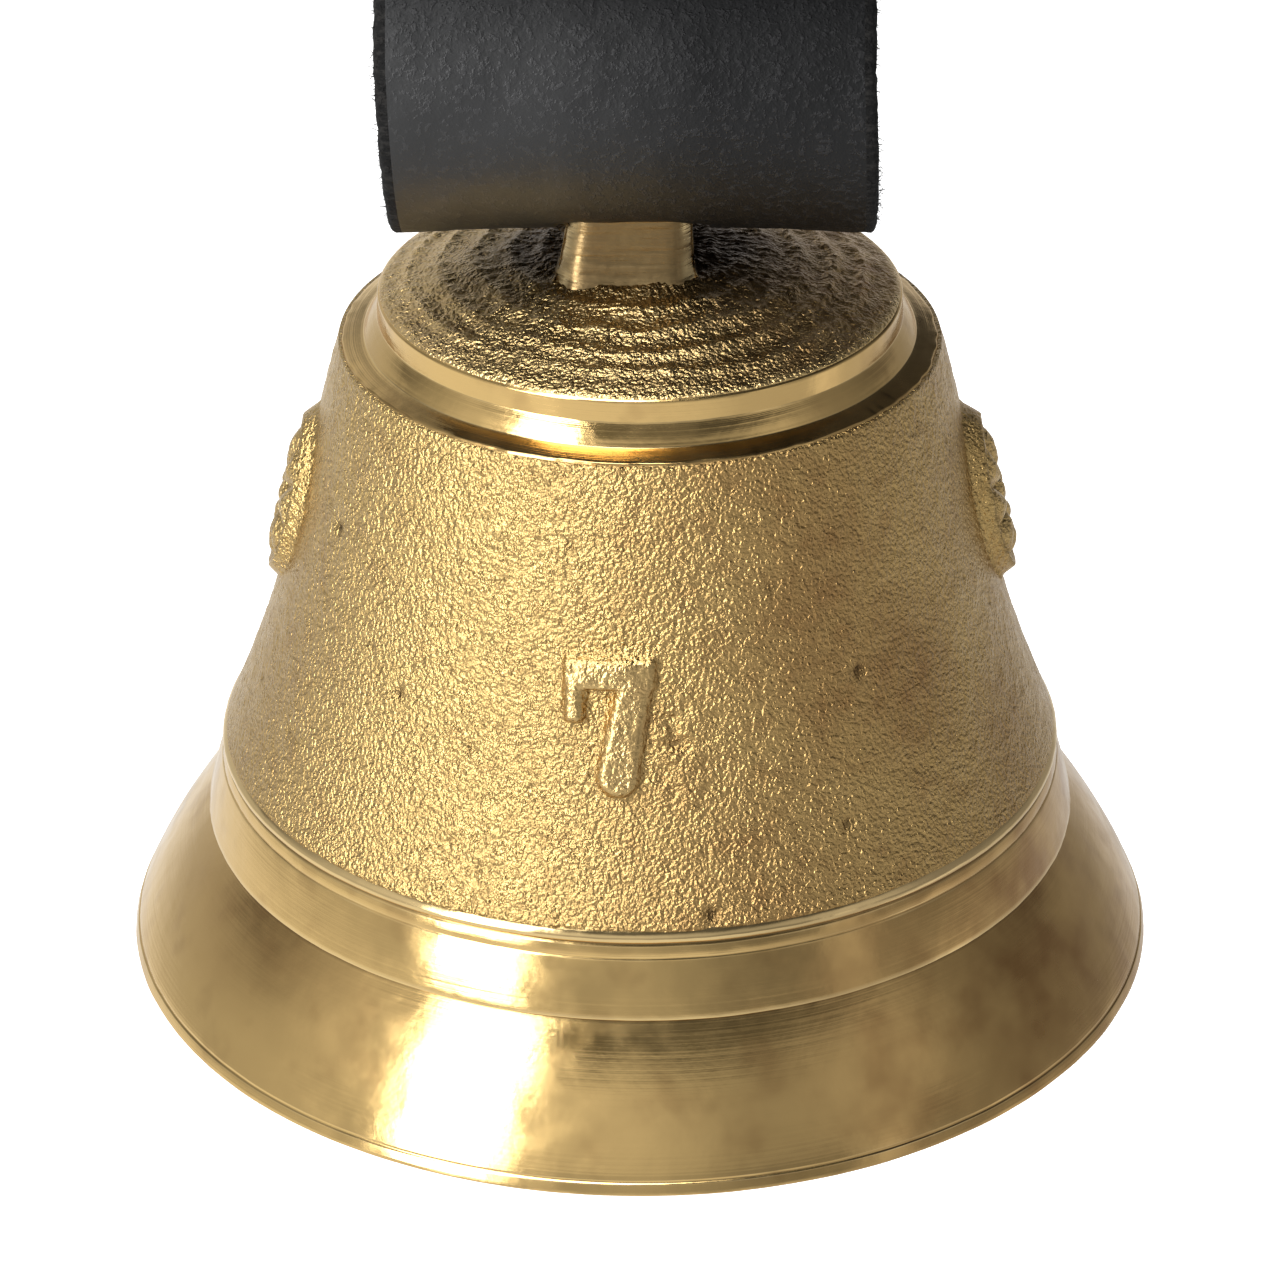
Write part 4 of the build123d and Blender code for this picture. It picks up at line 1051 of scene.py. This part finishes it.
def keeper(back_y, below):
    """A leather loop round the strap and its tail: a rounded section with a crease near each edge."""
    half_x = STRAP_W / 2 + KEEPER_SIDE_GAP + KEEPER_T / 2
    around_it = KEEPER_FACE_GAP + KEEPER_T / 2
    front, back = TAIL_Y - HALF_T - around_it, back_y + around_it
    mid_y, half_y = (front + back) / 2, (back - front) / 2
    corner = 1.15
    corners = [(half_x - corner, half_y - corner, 0), (-half_x + corner, half_y - corner, 1),
               (-half_x + corner, -half_y + corner, 2), (half_x - corner, -half_y + corner, 3)]
    path = []
    for cx, cy, quarter in corners:
        t = (quarter + np.linspace(0, 1, 10)) * math.pi / 2
        path.append(np.stack([cx + corner * np.cos(t), cy + corner * np.sin(t)], -1))
    line = np.vstack([[(0.0, half_y)], *path[1:], path[0], [(0.0, half_y)]])
    line = thinned(softened(line, 0.1), 0.7, 0.2)[:-1]
    ahead = np.roll(line, -1, 0) - np.roll(line, 1, 0)
    ahead /= np.linalg.norm(ahead, axis=1)[:, None]
    out = np.stack([ahead[:, 1], -ahead[:, 0]], -1)
    turn = np.linspace(0, TURN, 56, endpoint=False)
    reach = (np.abs(np.cos(turn)) ** 6 + np.abs(np.sin(turn)) ** 6) ** (-1 / 6)
    level, through = 3.5 * reach * np.cos(turn), 0.78 * reach * np.sin(turn)
    crease = 0.14 * np.exp(-((np.abs(level) - 2.5) / 0.22) ** 2) * (through > 0.3)
    seam = 0.35 * np.exp(-(line[:, 0] / 0.2) ** 2) * (line[:, 1] > 0)
    depth = (through - crease)[None, :] * (1 - seam[:, None])
    u = np.linspace(0, 1, len(line), endpoint=False)[:, None] + 0 * depth
    sag = 0.10 * bumps(u, turn / TURN + 0 * depth, 24, 5, 81) * (depth > 0) - 0.05
    depth = depth + np.minimum(sag, 0) * (depth > 0)
    rings = np.stack([line[:, :1] + out[:, :1] * depth, mid_y + line[:, 1:] + out[:, 1:] * depth,
                      HEEL_Z - below + level[None, :] + 0 * depth], -1)
    return skin(rings, True)


for name, stands_for, body, back_y, below in (
        ("keeper_fixed", "fixed_keeper", "hanger", TAB_Y + HALF_T, 15.5),
        ("keeper_sliding", "sliding_keeper", "keeper", -HANG_HALF + HALF_T, 38.5)):
    piece(name, keeper(back_y, below), [KEEPER_LEATHER], body, [stands_for])

# ---------------------------------------------------------------- carried-over metal parts

for finish, names in (
        (CLAPPER_STEEL, ["clapper_staple", "clapper_link", "clapper_rod"]), (BALL_IRON, ["clapper_ball"]),
        (PIN_STEEL, ["cross_pin", "split_pins", "fixed_keeper_staple", "sliding_keeper_staple"]),
        (RIVET_BRASS, ["waist_rivets", "waist_burrs", "fold_rivets", "fold_burrs"]),
        (BUCKLE_BRASS, ["buckle_frame", "buckle_roller", "buckle_tongue"]),
        (BRASS_SKIRT, ["bell_casting"]), (STRAP_LEATHER, ["strap"]),
        (KEEPER_LEATHER, ["fixed_keeper", "sliding_keeper"])):
    for name in names:
        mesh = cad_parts[name].data
        mesh.materials.clear()
        mesh.materials.append(finish)

# ---------------------------------------------------------------- floor and light

FLOOR_Z = -260.0
FLOOR_HALF = 6.0


def pale_floor(tree, place, shader):
    """Matt white paint with a barely seen mottle, lit evenly by its own glow."""
    spots = node(tree, "ShaderNodeTexNoise", {"Vector": place, "Scale": 30.0, "Detail": 2.0}).outputs["Fac"]
    shade = mix_colour(spots, (0.90, 0.90, 0.90), (0.93, 0.93, 0.93))
    feed(shader, Base_Color=shade, Emission_Color=shade, Emission_Strength=1.0, Roughness=0.9,
         Specular_IOR_Level=0.1)


floor_mesh = bpy.data.meshes.new("floor")
corners = [(x * FLOOR_HALF, y * FLOOR_HALF, FLOOR_Z * MM) for x, y in ((-1, -1), (1, -1), (1, 1), (-1, 1))]
floor_mesh.from_pydata(corners, [], [(0, 1, 2, 3)])
floor_mesh.materials.append(material("floor_white", pale_floor))
floor = bpy.data.objects.new("floor", floor_mesh)
bpy.context.scene.collection.objects.link(floor)
floor.visible_glossy = False
floor.visible_diffuse = False


def lamp(name, azimuth, elevation, distance, size, power, colour=(1, 1, 1), aim=(0, 0, 30)):
    """A rectangular softbox that looks at aim, from an azimuth and elevation in degrees."""
    light = bpy.data.lights.new(name, "AREA")
    light.shape = "RECTANGLE"
    light.size, light.size_y = size[0] * MM, size[1] * MM
    light.energy = power
    light.color = colour
    thing = bpy.data.objects.new(name, light)
    bpy.context.scene.collection.objects.link(thing)
    a, e = math.radians(azimuth), math.radians(elevation)
    way = Vector((math.sin(a) * math.cos(e), -math.cos(a) * math.cos(e), math.sin(e)))
    point_at(thing, Vector(aim) + way * distance, aim)


lamp("key_softbox", -40.6, 18, 700, (285, 720), 5.5)

ROOM_BELOW = [(-180, 0.95), (-90, 1.0), (-20, 0.95), (20, 0.85), (45, 0.62), (78, 0.62), (82, 1.0),
              (92, 1.0), (97, 0.66), (140, 0.7), (180, 0.95)]
ROOM_LEVEL = [(-180, 0.95), (-165, 0.9), (-140, 0.62), (-104, 0.52), (-76, 0.60), (-45, 0.52),
              (-15, 0.46), (0, 0.5), (20, 0.30), (33, 0.25), (45, 0.28), (49, 0.78), (56, 0.78),
              (62, 0.32), (106, 0.32), (138, 0.38), (180, 0.95)]
ROOM_ABOVE = [(-180, 0.04), (-168, 0.18), (-156, 0.75), (-138, 0.55), (-116, 0.16), (-90, 0.5),
              (-76, 0.72), (-45, 0.74), (-15, 0.70), (0, 0.68), (20, 0.44), (33, 0.40), (62, 0.66),
              (80, 0.34), (106, 0.22), (138, 0.07), (180, 0.04)]
ROOM_HIGH = [(-180, 0.08), (-130, 0.42), (-60, 0.20), (0, 0.12), (40, 0.09), (120, 0.05), (180, 0.05)]
ROOM_TOP = 8.0
ROOM_TOP_WAY = (-0.20, -0.24, 0.95)


def studio_world():
    """A room of soft light: grey by azimuth at four heights, blended by elevation, and white to look at."""
    world = bpy.data.worlds.new("studio")
    bpy.context.scene.world = world
    world.use_nodes = True
    tree = world.node_tree
    outwards = tree.nodes.new("ShaderNodeTexCoord").outputs["Generated"]
    way = node(tree, "ShaderNodeSeparateXYZ", {"Vector": outwards}).outputs
    azimuth = maths("ARCTAN2", way["X"], times(way["Y"], -1.0))
    share = plus(maths("DIVIDE", azimuth, TURN), 0.5)
    levels = []
    for stops in (ROOM_BELOW, ROOM_LEVEL, ROOM_ABOVE, ROOM_HIGH):
        ramp = node(tree, "ShaderNodeValToRGB", {"Fac": share})
        elements = ramp.color_ramp.elements
        while len(elements) < len(stops):
            elements.new(0.5)
        for element, (angle, level) in zip(elements, stops):
            element.position = angle / 360 + 0.5
            element.color = (level, level, level, 1)
        levels.append(ramp.outputs["Color"])
    colour = levels[0]
    for level, (start, end) in zip(levels[1:], ((-0.35, -0.1), (0.12, 0.30), (0.53, 0.68))):
        colour = mix_colour(ranged(way["Z"], start, end), colour, level)
    near_top = node(tree, "ShaderNodeVectorMath", {0: outwards, 1: ROOM_TOP_WAY},
                    operation="DOT_PRODUCT").outputs["Value"]
    colour = mix_colour(ranged(near_top, 0.945, 0.975), colour, (ROOM_TOP, ROOM_TOP, ROOM_TOP))
    seen = node(tree, "ShaderNodeLightPath").outputs["Is Camera Ray"]
    colour = mix_colour(seen, colour, (1.0, 1.0, 1.0))
    tree.links.new(colour, tree.nodes["Background"].inputs["Color"])
    tree.nodes["Background"].inputs["Strength"].default_value = 1.0


studio_world()
bpy.context.scene.view_settings.view_transform = "Standard"
